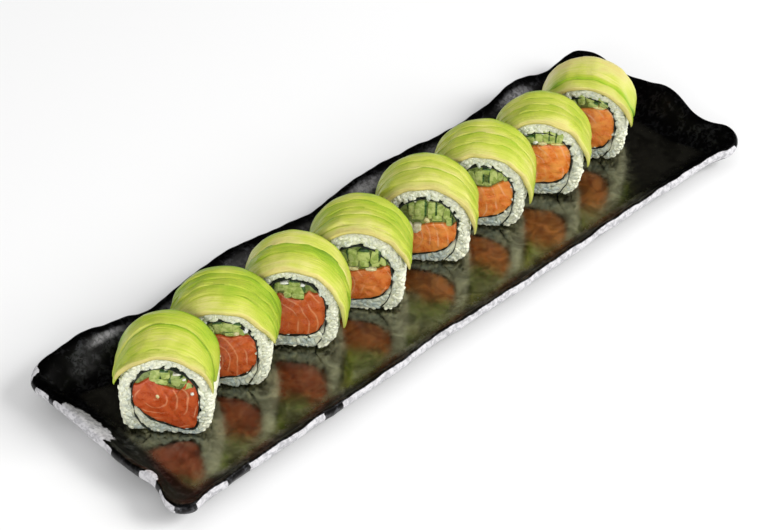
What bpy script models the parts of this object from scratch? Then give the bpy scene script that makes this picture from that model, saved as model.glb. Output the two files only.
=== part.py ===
"""Eight uramaki rolls with an avocado cover, standing in a row on a long wavy dish.

Metres, +Z up. The dish stands on its flat foot at z = 0, centred on x and y, its length along X.
Each roll has its own frame: x to its right, y into the roll from the front cut, z up.
"""

from math import cos, pi, radians, sin
from typing import NamedTuple

import bmesh
import bpy
import numpy as np
from mathutils import Matrix

MM = 0.001
GAP = 0.35 * MM  # between neighbouring solids

# dish
DISH_HALF_LENGTH = 168.4 * MM
DISH_HALF_WIDTH = 49.4 * MM
DISH_CORNER = 9.0 * MM
FLOOR_Z = 7.0 * MM
FOOT_HEIGHT = 2.2 * MM
FOOT_INSET = 27.0 * MM
EDGE_THICKNESS = 5.4 * MM
LONG_STEPS, SHORT_STEPS, CORNER_STEPS = 22, 8, 3

# rim height and width of the rise, for the near, far, left and right sides
RIM_Z = (11.6 * MM, 15.0 * MM, 13.4 * MM, 14.6 * MM)
RISE_WIDTH = (4.5 * MM, 20.0 * MM, 9.5 * MM, 16.0 * MM)

# hand-formed waves of the rim: where on the rim, reach along it, lift and outward push
WAVES = (
    ((-142, 49), 17, 3.9, 2.1),
    ((-104, 49), 12, -1.8, -1.2),
    ((-62, 49), 18, 2.2, 1.2),
    ((-14, 49), 13, -2.2, -1.2),
    ((29, 49), 15, 0.8, 0.4),
    ((81, 49), 24, -2.0, -1.2),
    ((121, 49), 11, 2.0, 1.2),
    ((143, 49), 12, -2.0, -1.0),
    ((168, 21), 9, -1.0, -0.8),
    ((168, -6), 12, 3.6, 1.6),
    ((168, -30), 10, -0.8, -1.6),
    ((168, -49), 12, 0.0, 4.2),
    ((-168, 49), 12, 0.0, 1.6),
    ((-168, -30), 9, -0.4, -2.2),
    ((-168, -49), 10, 0.0, 3.0),
    ((-27, -49), 22, 0.0, -1.2),
    ((95, -49), 25, 0.0, -0.6),
)

# roll
ROLL_HALF_WIDTH = 19.3 * MM
RICE_WALL = 5.4 * MM
SHEET = 0.8 * MM
AVOCADO = 3.4 * MM
THIN_EDGE = 0.7 * MM  # where the avocado runs out
OVERHANG = 0.5 * MM  # of the avocado, over each cut
SINK = 0.7 * MM  # how much of the round foot is pressed flat
OUTER_SQUARE, INNER_SQUARE = 5.0, 3.7  # corners below the widest line, 2 being an ellipse
DRAW_IN = 0.1  # share of the width lost at the foot
RING_STEPS = 24
COVER_STEPS = 16
FILL_STEPS = 16

# angles round a roll with its seam low on the right, 0 being right and 90 the top
RICE_START, RICE_END = -72, 277
SEAM_UPPER, SEAM_LOWER = -37, 304
SHEET_END, SHEET_START = -43, 299
SHEET_FOOT = -78
FILLING_APART = 2


class Roll(NamedTuple):
    """Where a roll stands and how it differs from the others, in mm and degrees."""

    x: float
    y: float
    turn: float
    thick: float
    wide: float
    tall: float
    base: float
    cap: float
    split: float
    seam: float
    slices: int
    left: float
    right: float


# x and y are the middle of the foot of the front cut; turn is about Z from the dish's X axis;
# wide scales the half width, tall is the height of the rice, base and cap the rice under and over
# the nori; split is how far above the widest line the salmon ends; seam is +1 where the sheet ends
# low on the right and -1 on the left; left and right are how far below the widest line the avocado
# reaches
ROLLS = (
    Roll(-142.8, -10.9, -46.9, 26.0, 0.98, 41.6, 3.4, 4.8, 10, -1, 2, -14, -14),
    Roll(-108.7, -6.3, -46.4, 23.4, 1.00, 41.2, 5.5, 4.3, 14, 1, 3, 1, -10),
    Roll(-73.1, -8.5, -48.4, 24.4, 1.00, 43.1, 7.6, 4.2, 18, 1, 3, 2, 7),
    Roll(-37.0, -9.8, -47.9, 24.0, 1.02, 43.4, 6.0, 7.6, 14, 1, 4, 2, -8),
    Roll(5.0, -6.8, -47.9, 23.2, 1.02, 41.0, 5.0, 5.2, 4, 1, 3, 2, -1),
    Roll(40.0, -7.4, -49.4, 23.0, 1.00, 39.6, 5.5, 5.0, 14, 1, 3, 2, 1),
    Roll(74.4, -10.1, -49.4, 22.4, 1.00, 41.2, 7.6, 4.8, 16, 1, 3, 2, 0),
    Roll(109.0, -5.4, -54.4, 24.0, 1.00, 39.4, 6.0, 4.2, 16, 1, 2, 2, -6),
)


def clear_scene():
    for obj in list(bpy.data.objects):
        bpy.data.objects.remove(obj)


def collection(name):
    group = bpy.data.collections.new(name)
    bpy.context.scene.collection.children.link(group)
    return group


def material(name, colour, roughness, metallic=0.0):
    finish = bpy.data.materials.new(name)
    finish.use_nodes = True
    shader = finish.node_tree.nodes["Principled BSDF"]
    shader.inputs["Base Color"].default_value = (*colour, 1.0)
    shader.inputs["Roughness"].default_value = roughness
    shader.inputs["Metallic"].default_value = metallic
    return finish


def add_object(name, mesh, group, finish):
    obj = bpy.data.objects.new(name, mesh)
    obj.data.materials.append(finish)
    group.objects.link(obj)
    return obj


def add_loft(name, sections, group, finish):
    """A closed body skinned over loops of the same length, with a flat face on each end loop."""
    rows, count = len(sections), len(sections[0])
    faces = [
        (a * count + i, a * count + (i + 1) % count, (a + 1) * count + (i + 1) % count, (a + 1) * count + i)
        for a in range(rows - 1)
        for i in range(count)
    ]
    faces += [tuple(reversed(range(count))), tuple(range((rows - 1) * count, rows * count))]
    mesh = bpy.data.meshes.new(name)
    mesh.from_pydata([tuple(p) for loop in sections for p in loop], [], faces)
    work = bmesh.new()
    work.from_mesh(mesh)
    bmesh.ops.recalc_face_normals(work, faces=work.faces)
    work.to_mesh(mesh)
    work.free()
    return add_object(name, mesh, group, finish)


def add_slab(name, profile, thick, group, finish):
    """A flat outline in x and z, given the depth of the roll by a Solidify."""
    mesh = bpy.data.meshes.new(name)
    mesh.from_pydata([(x, 0.0, z) for x, z in profile], [], [tuple(range(len(profile)))])
    obj = add_object(name, mesh, group, finish)
    depth = obj.modifiers.new("Depth", "SOLIDIFY")
    depth.thickness = thick
    depth.offset = -1.0
    return obj


def add_sheet(name, path, thick, group, finish):
    """A ribbon along the path, as deep as the roll, thickened by a Solidify."""
    count = len(path)
    points = [(x, y, z) for y in (0.0, thick) for x, z in path]
    faces = [(i, i + 1, count + i + 1, count + i) for i in range(count - 1)]
    mesh = bpy.data.meshes.new(name)
    mesh.from_pydata(points, [], faces)
    obj = add_object(name, mesh, group, finish)
    body = obj.modifiers.new("Thickness", "SOLIDIFY")
    body.thickness = SHEET
    body.offset = 0.0
    body.use_even_offset = True
    return obj


# ---- dish ------------------------------------------------------------------------------------


def by_side(values, nx, ny):
    """Blends the near, far, left and right values by the outward direction."""
    near, far, left, right = values
    return (near if ny < 0 else far) * ny * ny + (left if nx < 0 else right) * nx * nx


def corner_arc(cx, cy, start, radius):
    steps = range(CORNER_STEPS + 1)
    angles = [radians(start + 90.0 * k / CORNER_STEPS) for k in steps]
    return [(cx + radius * cos(a), cy + radius * sin(a), cos(a), sin(a)) for a in angles]


def side_points(a, b, steps):
    """Points strictly between two ends of a straight side, with its outward direction."""
    return [
        (a[0] + (b[0] - a[0]) * k / steps, a[1] + (b[1] - a[1]) * k / steps, b[2], b[3])
        for k in range(1, steps)
    ]


def rim_stations():
    """(x, y, nx, ny) round the rim, anticlockwise, with corners as quarter circles."""
    cx, cy = DISH_HALF_LENGTH - DISH_CORNER, DISH_HALF_WIDTH - DISH_CORNER
    centres = ((cx, -cy, -90), (cx, cy, 0), (-cx, cy, 90), (-cx, -cy, 180))
    corners = [corner_arc(x, y, start, DISH_CORNER) for x, y, start in centres]
    steps = (SHORT_STEPS, LONG_STEPS, SHORT_STEPS, LONG_STEPS)
    stations = []
    for here, after, count in zip(corners, corners[1:] + corners[:1], steps):
        stations += here + side_points(here[-1], after[0], count)
    return stations


def wave(x, y, column):
    """Sum of the waves' lift (2) or push (3) at a point of the rim, in metres."""
    total = 0.0
    for (wx, wy), reach, *amounts in WAVES:
        away = ((x / MM - wx) ** 2 + (y / MM - wy) ** 2) / reach**2
        total += amounts[column - 2] * np.exp(-away)
    return total * MM


def dish_ring(stations, inset_of, height_of, swell):
    """A loop of the dish: each rim station moved in along both axes and set at its height."""
    loop = []
    for x, y, nx, ny in stations:
        inset = inset_of(nx, ny)
        out = swell * wave(x, y, 3)
        rim = by_side(RIM_Z, nx, ny) + wave(x, y, 2)
        px = x * (1.0 - inset / DISH_HALF_LENGTH) + out * nx
        py = y * (1.0 - inset / DISH_HALF_WIDTH) + out * ny
        loop.append((px, py, height_of(rim)))
    return loop


def rise(part):
    """Inset of a loop that stands this share of the way down the inner rise."""
    return lambda nx, ny: 2.2 * MM + part * by_side(RISE_WIDTH, nx, ny)


def build_dish(group, finish):
    stations = rim_stations()
    profile = (
        (lambda nx, ny: FOOT_INSET, lambda rim: 0.0, 0.0),
        (lambda nx, ny: FOOT_INSET - 1.5 * MM, lambda rim: FOOT_HEIGHT, 0.0),
        (lambda nx, ny: 0.45 * FOOT_INSET, lambda rim: FOOT_HEIGHT + 0.2 * (rim - FLOOR_Z), 0.3),
        (lambda nx, ny: 2.6 * MM, lambda rim: rim - EDGE_THICKNESS - 0.8 * MM, 0.9),
        (lambda nx, ny: 0.4 * MM, lambda rim: rim - 0.75 * EDGE_THICKNESS, 1.0),
        (lambda nx, ny: 0.0, lambda rim: rim - 0.3 * EDGE_THICKNESS, 1.0),
        (lambda nx, ny: 1.1 * MM, lambda rim: rim, 1.0),
        (rise(0.06), lambda rim: rim - 0.3 * MM, 1.0),
        (rise(0.3), lambda rim: FLOOR_Z + 0.62 * (rim - FLOOR_Z), 0.7),
        (rise(0.65), lambda rim: FLOOR_Z + 0.18 * (rim - FLOOR_Z), 0.3),
        (rise(1.0), lambda rim: FLOOR_Z, 0.0),
    )
    sections = [dish_ring(stations, *row) for row in profile]
    add_loft("dish", sections, group, finish)


# ---- rolls -----------------------------------------------------------------------------------


def ring_point(angle, half_width, bottom, top, square):
    """A point of a roll's outline: round above its widest line, squarer below, a little drawn in
    at the foot. The angle runs anticlockwise from the right."""
    c, s = cos(radians(angle)), sin(radians(angle))
    middle, half = (bottom + top) / 2, (top - bottom) / 2
    if s >= 0:
        return half_width * c, middle + half * s
    power = 2.0 / square
    down = abs(s) ** power
    across = half_width * abs(c) ** power * (1.0 - DRAW_IN * down * down)
    return (across if c >= 0 else -across), middle - half * down


def outer(roll, angle, grow=0.0):
    """Outside of the rice; grow moves the outline outwards."""
    half = ROLL_HALF_WIDTH * roll.wide + grow
    x, z = ring_point(angle, half, -SINK - grow, roll.tall * MM + grow, OUTER_SQUARE)
    return x, max(z, 0.0)


def inner(roll, angle, grow=0.0):
    """Middle line of the nori sheet; grow moves the outline outwards."""
    half = ROLL_HALF_WIDTH * roll.wide - RICE_WALL + grow
    top = (roll.tall - roll.cap) * MM + grow
    return ring_point(angle, half, roll.base * MM - grow, top, INNER_SQUARE)


def sweep(start, end, steps):
    return [start + (end - start) * k / steps for k in range(steps + 1)]


def mirrored(roll, points):
    """Puts the sheet's end on the roll's other side where its seam is on the left."""
    return [(-x, z) for x, z in reversed(points)] if roll.seam < 0 else points


def rice_profile(roll):
    """A ring open where the sheet's end comes out through it, low on the right."""
    clear = SHEET / 2 + GAP
    outside = [outer(roll, a) for a in sweep(RICE_START, RICE_END, RING_STEPS)]
    inside = [inner(roll, a, clear) for a in sweep(SEAM_LOWER, SEAM_UPPER, RING_STEPS)]
    return mirrored(roll, outside + inside)


def sheet_path(roll):
    """Middle line of the sheet: once round, then out through the rice to the foot."""
    ring = [inner(roll, a) for a in sweep(SHEET_START, SHEET_END, RING_STEPS)]
    foot_x = outer(roll, SHEET_FOOT)[0]
    return mirrored(roll, ring + [(foot_x, 0.5 * MM)])


def salmon_profile(roll):
    """Lower part of the filling."""
    angles = sweep(-180 - roll.split, roll.split, FILL_STEPS)
    arc = [inner(roll, a, -SHEET / 2 - GAP) for a in angles]
    return mirrored(roll, arc)


def cucumber_profile(roll):
    """The bundle of sticks over the salmon."""
    angles = sweep(roll.split + FILLING_APART, 180 - FILLING_APART - roll.split, FILL_STEPS)
    arc = [inner(roll, a, -SHEET / 2 - GAP) for a in angles]
    return mirrored(roll, arc)


def cover_loop(roll, y, grow):
    """Closed outline of the avocado at one depth: its outside, then its inside."""
    angles = sweep(-roll.right, 180 + roll.left, COVER_STEPS)
    clear = GAP + 0.1 * MM
    span = angles[-1] - angles[0]
    loop = []
    for a in angles:
        middle = max(sin(pi * (a - angles[0]) / span), 0.0)
        thick = THIN_EDGE + (AVOCADO - THIN_EDGE) * grow * middle**0.6
        x, z = outer(roll, a, clear + thick)
        loop.append((x, y, z))
    for a in reversed(angles):
        x, z = outer(roll, a, clear)
        loop.append((x, y, z))
    return loop


def cover_sections(roll):
    """Overlapping slices: each is thickest at its front edge and thinner where the next begins."""
    depth = roll.thick * MM + 2 * OVERHANG
    step = depth / roll.slices
    sections = []
    for k in range(roll.slices):
        front = -OVERHANG + k * step
        sections.append(cover_loop(roll, front + 0.02 * step, 0.62 if k == 0 else 1.0))
        sections.append(cover_loop(roll, front + 0.96 * step, 0.74 if k else 0.95))
    return sections


def build_roll(index, roll, group, finishes):
    suffix = f"_{index}"
    thick = roll.thick * MM
    made = [
        add_slab("rice" + suffix, rice_profile(roll), thick, group, finishes["rice"]),
        add_slab("salmon" + suffix, salmon_profile(roll), thick, group, finishes["salmon"]),
        add_slab("cucumber" + suffix, cucumber_profile(roll), thick, group, finishes["cucumber"]),
        add_loft("avocado" + suffix, cover_sections(roll), group, finishes["avocado"]),
        add_sheet("nori" + suffix, sheet_path(roll), thick, group, finishes["nori"]),
    ]
    turn = Matrix.Rotation(radians(roll.turn), 4, "Z")
    place = Matrix.Translation((roll.x * MM, roll.y * MM, FLOOR_Z + GAP))
    for obj in made:
        obj.data.transform(place @ turn)


def centre_on_dish(group):
    """Moves everything so that the dish's middle is at x = y = 0."""
    points = np.array([v.co for v in bpy.data.objects["dish"].data.vertices])
    middle = (points.min(axis=0) + points.max(axis=0)) / 2
    for obj in group.objects:
        obj.data.transform(Matrix.Translation((-middle[0], -middle[1], 0.0)))


def main():
    clear_scene()
    group = collection("Uramaki platter")
    finishes = {
        "rice": material("rice", (0.80, 0.82, 0.74), 0.45),
        "nori": material("nori", (0.012, 0.018, 0.014), 0.5),
        "salmon": material("salmon", (0.75, 0.17, 0.06), 0.35),
        "cucumber": material("cucumber", (0.38, 0.50, 0.16), 0.35),
        "avocado": material("avocado", (0.52, 0.62, 0.12), 0.35),
    }
    build_dish(group, material("glaze", (0.012, 0.011, 0.012), 0.12))
    for index, roll in enumerate(ROLLS, start=1):
        build_roll(index, roll, group, finishes)
    centre_on_dish(group)


main()
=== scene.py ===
"""Looks of a platter of eight uramaki rolls standing in a row on a long black dish.

Metres, +Z up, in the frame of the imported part: the dish stands at z = 0 with its length along X.
Each roll has its own frame, in millimetres: x to its right, y into it from the front cut, z up.
"""

import logging
from dataclasses import dataclass, field
from enum import Enum
from typing import Callable

import bmesh
import bpy
import numpy as np
from mathutils import Matrix, Vector
from numpy.typing import NDArray


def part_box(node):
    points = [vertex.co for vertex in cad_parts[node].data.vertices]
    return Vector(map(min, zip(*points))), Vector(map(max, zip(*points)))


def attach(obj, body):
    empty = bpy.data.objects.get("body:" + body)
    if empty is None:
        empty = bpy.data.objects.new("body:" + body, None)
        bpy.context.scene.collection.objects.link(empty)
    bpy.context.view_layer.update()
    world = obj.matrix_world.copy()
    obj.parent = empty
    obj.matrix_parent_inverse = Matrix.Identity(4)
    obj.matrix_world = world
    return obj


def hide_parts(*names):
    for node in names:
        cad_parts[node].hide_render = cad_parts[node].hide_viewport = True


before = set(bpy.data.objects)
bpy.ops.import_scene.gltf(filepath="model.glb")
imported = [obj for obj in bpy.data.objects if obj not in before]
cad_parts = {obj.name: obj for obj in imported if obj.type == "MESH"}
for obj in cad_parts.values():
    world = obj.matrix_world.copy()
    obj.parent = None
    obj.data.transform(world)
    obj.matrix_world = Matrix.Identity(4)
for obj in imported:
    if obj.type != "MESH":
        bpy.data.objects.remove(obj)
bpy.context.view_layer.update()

Array = NDArray[np.float64]
Colour = tuple[float, float, float]

MM = 0.001
BODY = "root"
log = logging.getLogger("platter")


class Slot(Enum):
    """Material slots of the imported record."""

    GLAZE = "glaze"
    RICE = "rice"
    NORI = "nori"
    SALMON = "salmon"
    CUCUMBER = "cucumber"
    AVOCADO = "avocado"


class Seam(Enum):
    """Side of a roll, seen from the front, on which the nori sheet ends."""

    RIGHT = 1.0
    LEFT = -1.0


# ---- arrays and meshes ------------------------------------------------------------------------


def smoothstep(low: float, high: float, value: Array) -> Array:
    """Rises from 0 at low to 1 at high with flat ends: 3t^2 - 2t^3.

    Args:
        low: Value that gives 0.
        high: Value that gives 1.
        value: Input array.

    Returns:
        Array of the same shape, from 0 to 1.
    """
    t = np.clip((value - low) / (high - low), 0.0, 1.0)
    return t * t * (3.0 - 2.0 * t)


def ripple(points: Array, pitch: float, seed: int, count: int = 9) -> Array:
    """Smooth noise of about unit height: the mean of sine waves in random directions.

    Args:
        points: Positions, any shape ending in the number of coordinates.
        pitch: Mean wavelength, in the units of points.
        seed: Seed of the directions, wavelengths and phases.
        count: Number of waves.

    Returns:
        One value for each position.
    """
    rng = np.random.default_rng(seed)
    heading = rng.normal(size=(points.shape[-1], count))
    heading /= np.linalg.norm(heading, axis=0)
    rate = 2.0 * np.pi / (pitch * rng.uniform(0.6, 1.5, count))
    phase = rng.uniform(0.0, 2.0 * np.pi, count)
    return np.sin(points @ (heading * rate) + phase).sum(axis=-1) / np.sqrt(count / 2.0)


@dataclass
class Shell:
    """A mesh under construction: corner positions, faces and values stored at the corners."""

    points: Array
    quads: NDArray[np.int64]
    tris: NDArray[np.int64]
    values: dict[str, Array] = field(default_factory=dict)

    @staticmethod
    def join(shells: list["Shell"]) -> "Shell":
        """Puts several shells with the same stored values in one.

        Args:
            shells: The shells, in order.

        Returns:
            One shell whose faces point at the shifted corners.
        """
        starts = np.cumsum([0] + [len(s.points) for s in shells[:-1]])
        return Shell(
            np.concatenate([s.points for s in shells]),
            np.concatenate([s.quads + k for s, k in zip(shells, starts)]),
            np.concatenate([s.tris + k for s, k in zip(shells, starts)]),
            {name: np.concatenate([s.values[name] for s in shells]) for name in shells[0].values},
        )

    def flipped(self) -> "Shell":
        """The same shell with every face turned over."""
        return Shell(self.points, self.quads[:, ::-1], self.tris[:, ::-1], self.values)


def lattice(rows: int, columns: int) -> NDArray[np.int64]:
    """Four-sided faces between neighbouring rows of a grid whose columns close in a ring.

    Args:
        rows: Number of rows.
        columns: Number of points in a row.

    Returns:
        Corner numbers, one face a line.
    """
    row, column = np.meshgrid(np.arange(rows - 1), np.arange(columns), indexing="ij")
    after = (column + 1) % columns
    here, above = row * columns, (row + 1) * columns
    return np.stack([here + column, here + after, above + after, above + column], -1).reshape(-1, 4)


def capped_tube(rings: Array, values: dict[str, Array]) -> Shell:
    """Skins a stack of rings and closes each end with a fan round the middle of its last ring.

    Args:
        rings: Positions, rings by points by 3; anticlockwise seen from the last ring's end.
        values: Values to store, each rings by points.

    Returns:
        A closed shell.
    """
    rows, columns = rings.shape[:2]
    first, last = rows * columns, rows * columns + 1
    column = np.arange(columns)
    after = (column + 1) % columns
    top = (rows - 1) * columns
    low_fan = np.stack([np.full(columns, first), after, column], -1)
    high_fan = np.stack([np.full(columns, last), top + column, top + after], -1)
    ends = np.stack([rings[0].mean(axis=0), rings[-1].mean(axis=0)])
    stored = {
        name: np.concatenate([v.reshape(-1), [v[0].mean(), v[-1].mean()]])
        for name, v in values.items()
    }
    return Shell(
        np.concatenate([rings.reshape(-1, 3), ends]),
        lattice(rows, columns),
        np.concatenate([low_fan, high_fan]),
        stored,
    )


def make_object(name: str, shell: Shell, material: bpy.types.Material) -> bpy.types.Object:
    """Makes a smooth-shaded mesh object of a shell and makes it ride on the platter's body.

    Args:
        name: Name of the piece.
        shell: Its corners, in metres, faces and stored values.
        material: Its finish.

    Returns:
        The linked object.
    """
    mesh = bpy.data.meshes.new(name)
    loops = np.concatenate([shell.quads.reshape(-1), shell.tris.reshape(-1)])
    sizes = np.concatenate([np.full(len(shell.quads), 4), np.full(len(shell.tris), 3)])
    mesh.vertices.add(len(shell.points))
    mesh.vertices.foreach_set("co", shell.points.astype(np.float32).reshape(-1))
    mesh.loops.add(len(loops))
    mesh.loops.foreach_set("vertex_index", loops.astype(np.int32))
    mesh.polygons.add(len(sizes))
    mesh.polygons.foreach_set("loop_start", (np.cumsum(sizes) - sizes).astype(np.int32))
    mesh.update(calc_edges=True)
    mesh.validate()
    for key, stored in shell.values.items():
        layer = mesh.attributes.new(key, "FLOAT", "POINT")
        layer.data.foreach_set("value", stored.astype(np.float32))
    mesh.shade_smooth()
    mesh.materials.append(material)
    piece = bpy.data.objects.new(name, mesh)
    bpy.context.scene.collection.objects.link(piece)
    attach(piece, BODY)
    log.info("%s: %d points", name, len(mesh.vertices))
    return piece


# ---- shader graphs ----------------------------------------------------------------------------

Socket = bpy.types.NodeSocket
Input = Socket | float | Colour


class Graph:
    """A node tree with short calls for the nodes that the finishes use."""

    def __init__(self, tree: bpy.types.NodeTree) -> None:
        """Keeps the tree that nodes are added to."""
        self.tree = tree

    def node(self, kind: str, **settings: object) -> bpy.types.Node:
        """Adds a node and sets its properties.

        Args:
            kind: Blender's name of the node type.
            settings: Properties of the node.

        Returns:
            The node.
        """
        made = self.tree.nodes.new(kind)
        for key, value in settings.items():
            setattr(made, key, value)
        return made

    def feed(self, socket: Socket, value: Input) -> None:
        """Links a socket to an input, or sets the constant on it."""
        if isinstance(value, bpy.types.NodeSocket):
            self.tree.links.new(value, socket)
        elif isinstance(value, tuple) and socket.type == "RGBA":
            socket.default_value = (*value, 1.0)
        else:
            socket.default_value = value

    def stored(self, name: str) -> Socket:
        """Value that the mesh stores under a name."""
        return self.node("ShaderNodeAttribute", attribute_name=name).outputs["Fac"]

    def place(self) -> Socket:
        """Object coordinates, in metres."""
        return self.node("ShaderNodeTexCoord").outputs["Object"]

    def math(self, operation: str, a: Input, b: Input = 0.0, clamp: bool = False) -> Socket:
        """Result of a Math node on two inputs."""
        made = self.node("ShaderNodeMath", operation=operation, use_clamp=clamp)
        self.feed(made.inputs[0], a)
        self.feed(made.inputs[1], b)
        return made.outputs[0]

    def noise(self, where: Socket, scale: float, detail: float = 2.0, warp: float = 0.0) -> Socket:
        """Noise from 0 to 1 with a feature size of about 1 / scale metres."""
        made = self.node("ShaderNodeTexNoise")
        self.feed(made.inputs["Vector"], where)
        self.feed(made.inputs["Scale"], scale)
        self.feed(made.inputs["Detail"], detail)
        self.feed(made.inputs["Distortion"], warp)
        return made.outputs[0]

    def cells(self, where: Socket, scale: float) -> Socket:
        """Distance to the nearest of scattered points, about 0 to 1."""
        made = self.node("ShaderNodeTexVoronoi")
        self.feed(made.inputs["Vector"], where)
        self.feed(made.inputs["Scale"], scale)
        return made.outputs["Distance"]

    def span(self, value: Input, low: float, high: float, to: tuple[float, float] = (0.0, 1.0)) -> Socket:
        """Maps low..high smoothly and clamped onto the range to."""
        made = self.node("ShaderNodeMapRange", interpolation_type="SMOOTHSTEP")
        for key, number in zip(("Value", "From Min", "From Max", "To Min", "To Max"), (value, low, high, *to)):
            self.feed(made.inputs[key], number)
        return made.outputs["Result"]

    def blend(self, share: Input, a: Input, b: Input, mode: str = "MIX") -> Socket:
        """Mixes two colours."""
        made = self.node("ShaderNodeMix", data_type="RGBA", blend_type=mode)
        for key, value in ((0, share), (6, a), (7, b)):
            self.feed(made.inputs[key], value)
        return made.outputs[2]

    def ramp(self, value: Socket, stops: list[tuple[float, Colour]]) -> Socket:
        """Colour of a ramp with the given stops."""
        made = self.node("ShaderNodeValToRGB")
        elements = made.color_ramp.elements
        while len(elements) < len(stops):
            elements.new(1.0)
        for element, (position, colour) in zip(elements, stops):
            element.position = position
            element.color = (*colour, 1.0)
        self.feed(made.inputs[0], value)
        return made.outputs[0]

    def bump(self, height: Socket, distance: float, strength: float = 1.0) -> Socket:
        """Normal of a height field whose unit is distance, in metres."""
        made = self.node("ShaderNodeBump")
        self.feed(made.inputs["Strength"], strength)
        self.feed(made.inputs["Distance"], distance)
        self.feed(made.inputs["Height"], height)
        return made.outputs[0]

    def group(self, tree: bpy.types.NodeTree, **values: Input) -> bpy.types.Node:
        """Places a node group and feeds its named inputs."""
        made = self.node("ShaderNodeGroup", node_tree=tree)
        for key, value in values.items():
            self.feed(made.inputs[key], value)
        return made


def new_group(name: str, inputs: dict[str, float], outputs: list[str]) -> tuple[Graph, Callable, Callable]:
    """Starts a shader node group with number sockets.

    Args:
        name: Name of the group.
        inputs: Input names with their default values.
        outputs: Output names.

    Returns:
        Its graph, a function that gives an input's socket, and one that feeds an output.
    """
    tree = bpy.data.node_groups.new(name, "ShaderNodeTree")
    for key, value in inputs.items():
        tree.interface.new_socket(key, in_out="INPUT", socket_type="NodeSocketFloat").default_value = value
    for key in outputs:
        tree.interface.new_socket(key, in_out="OUTPUT", socket_type="NodeSocketFloat")
    graph = Graph(tree)
    source = graph.node("NodeGroupInput")
    sink = graph.node("NodeGroupOutput")
    return graph, lambda key: source.outputs[key], lambda key, value: graph.feed(sink.inputs[key], value)


def moisture_group() -> bpy.types.NodeTree:
    """Uneven wetness: broad tone patches, a fine surface height and a roughness that follows both."""
    graph, given, give = new_group(
        "Moisture", {"Broad": 120.0, "Fine": 900.0, "Dry": 0.5, "Wet": 0.25}, ["Tone", "Height", "Roughness"]
    )
    where = graph.place()
    broad = graph.node("ShaderNodeTexNoise")
    fine = graph.node("ShaderNodeTexNoise")
    for made, key in ((broad, "Broad"), (fine, "Fine")):
        graph.feed(made.inputs["Vector"], where)
        graph.feed(made.inputs["Scale"], given(key))
    tone = graph.span(broad.outputs[0], 0.35, 0.65)
    made = graph.node("ShaderNodeMapRange")
    graph.feed(made.inputs["Value"], tone)
    graph.feed(made.inputs["To Min"], given("Wet"))
    graph.feed(made.inputs["To Max"], given("Dry"))
    give("Tone", tone)
    give("Height", fine.outputs[0])
    give("Roughness", made.outputs[0])
    return graph.tree


@dataclass(frozen=True)
class Finish:
    """A material: constants go straight on the Principled sockets, and paint feeds the rest."""

    name: str
    constants: dict[str, float | Colour]
    paint: Callable[[Graph, bpy.types.Node], None]

    def material(self) -> bpy.types.Material:
        """Builds the material.

        Returns:
            A material with one Principled BSDF.
        """
        made = bpy.data.materials.new(self.name)
        made.use_nodes = True
        graph = Graph(made.node_tree)
        shader = made.node_tree.nodes["Principled BSDF"]
        for key, value in self.constants.items():
            graph.feed(shader.inputs[key], value)
        self.paint(graph, shader)
        return made


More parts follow.
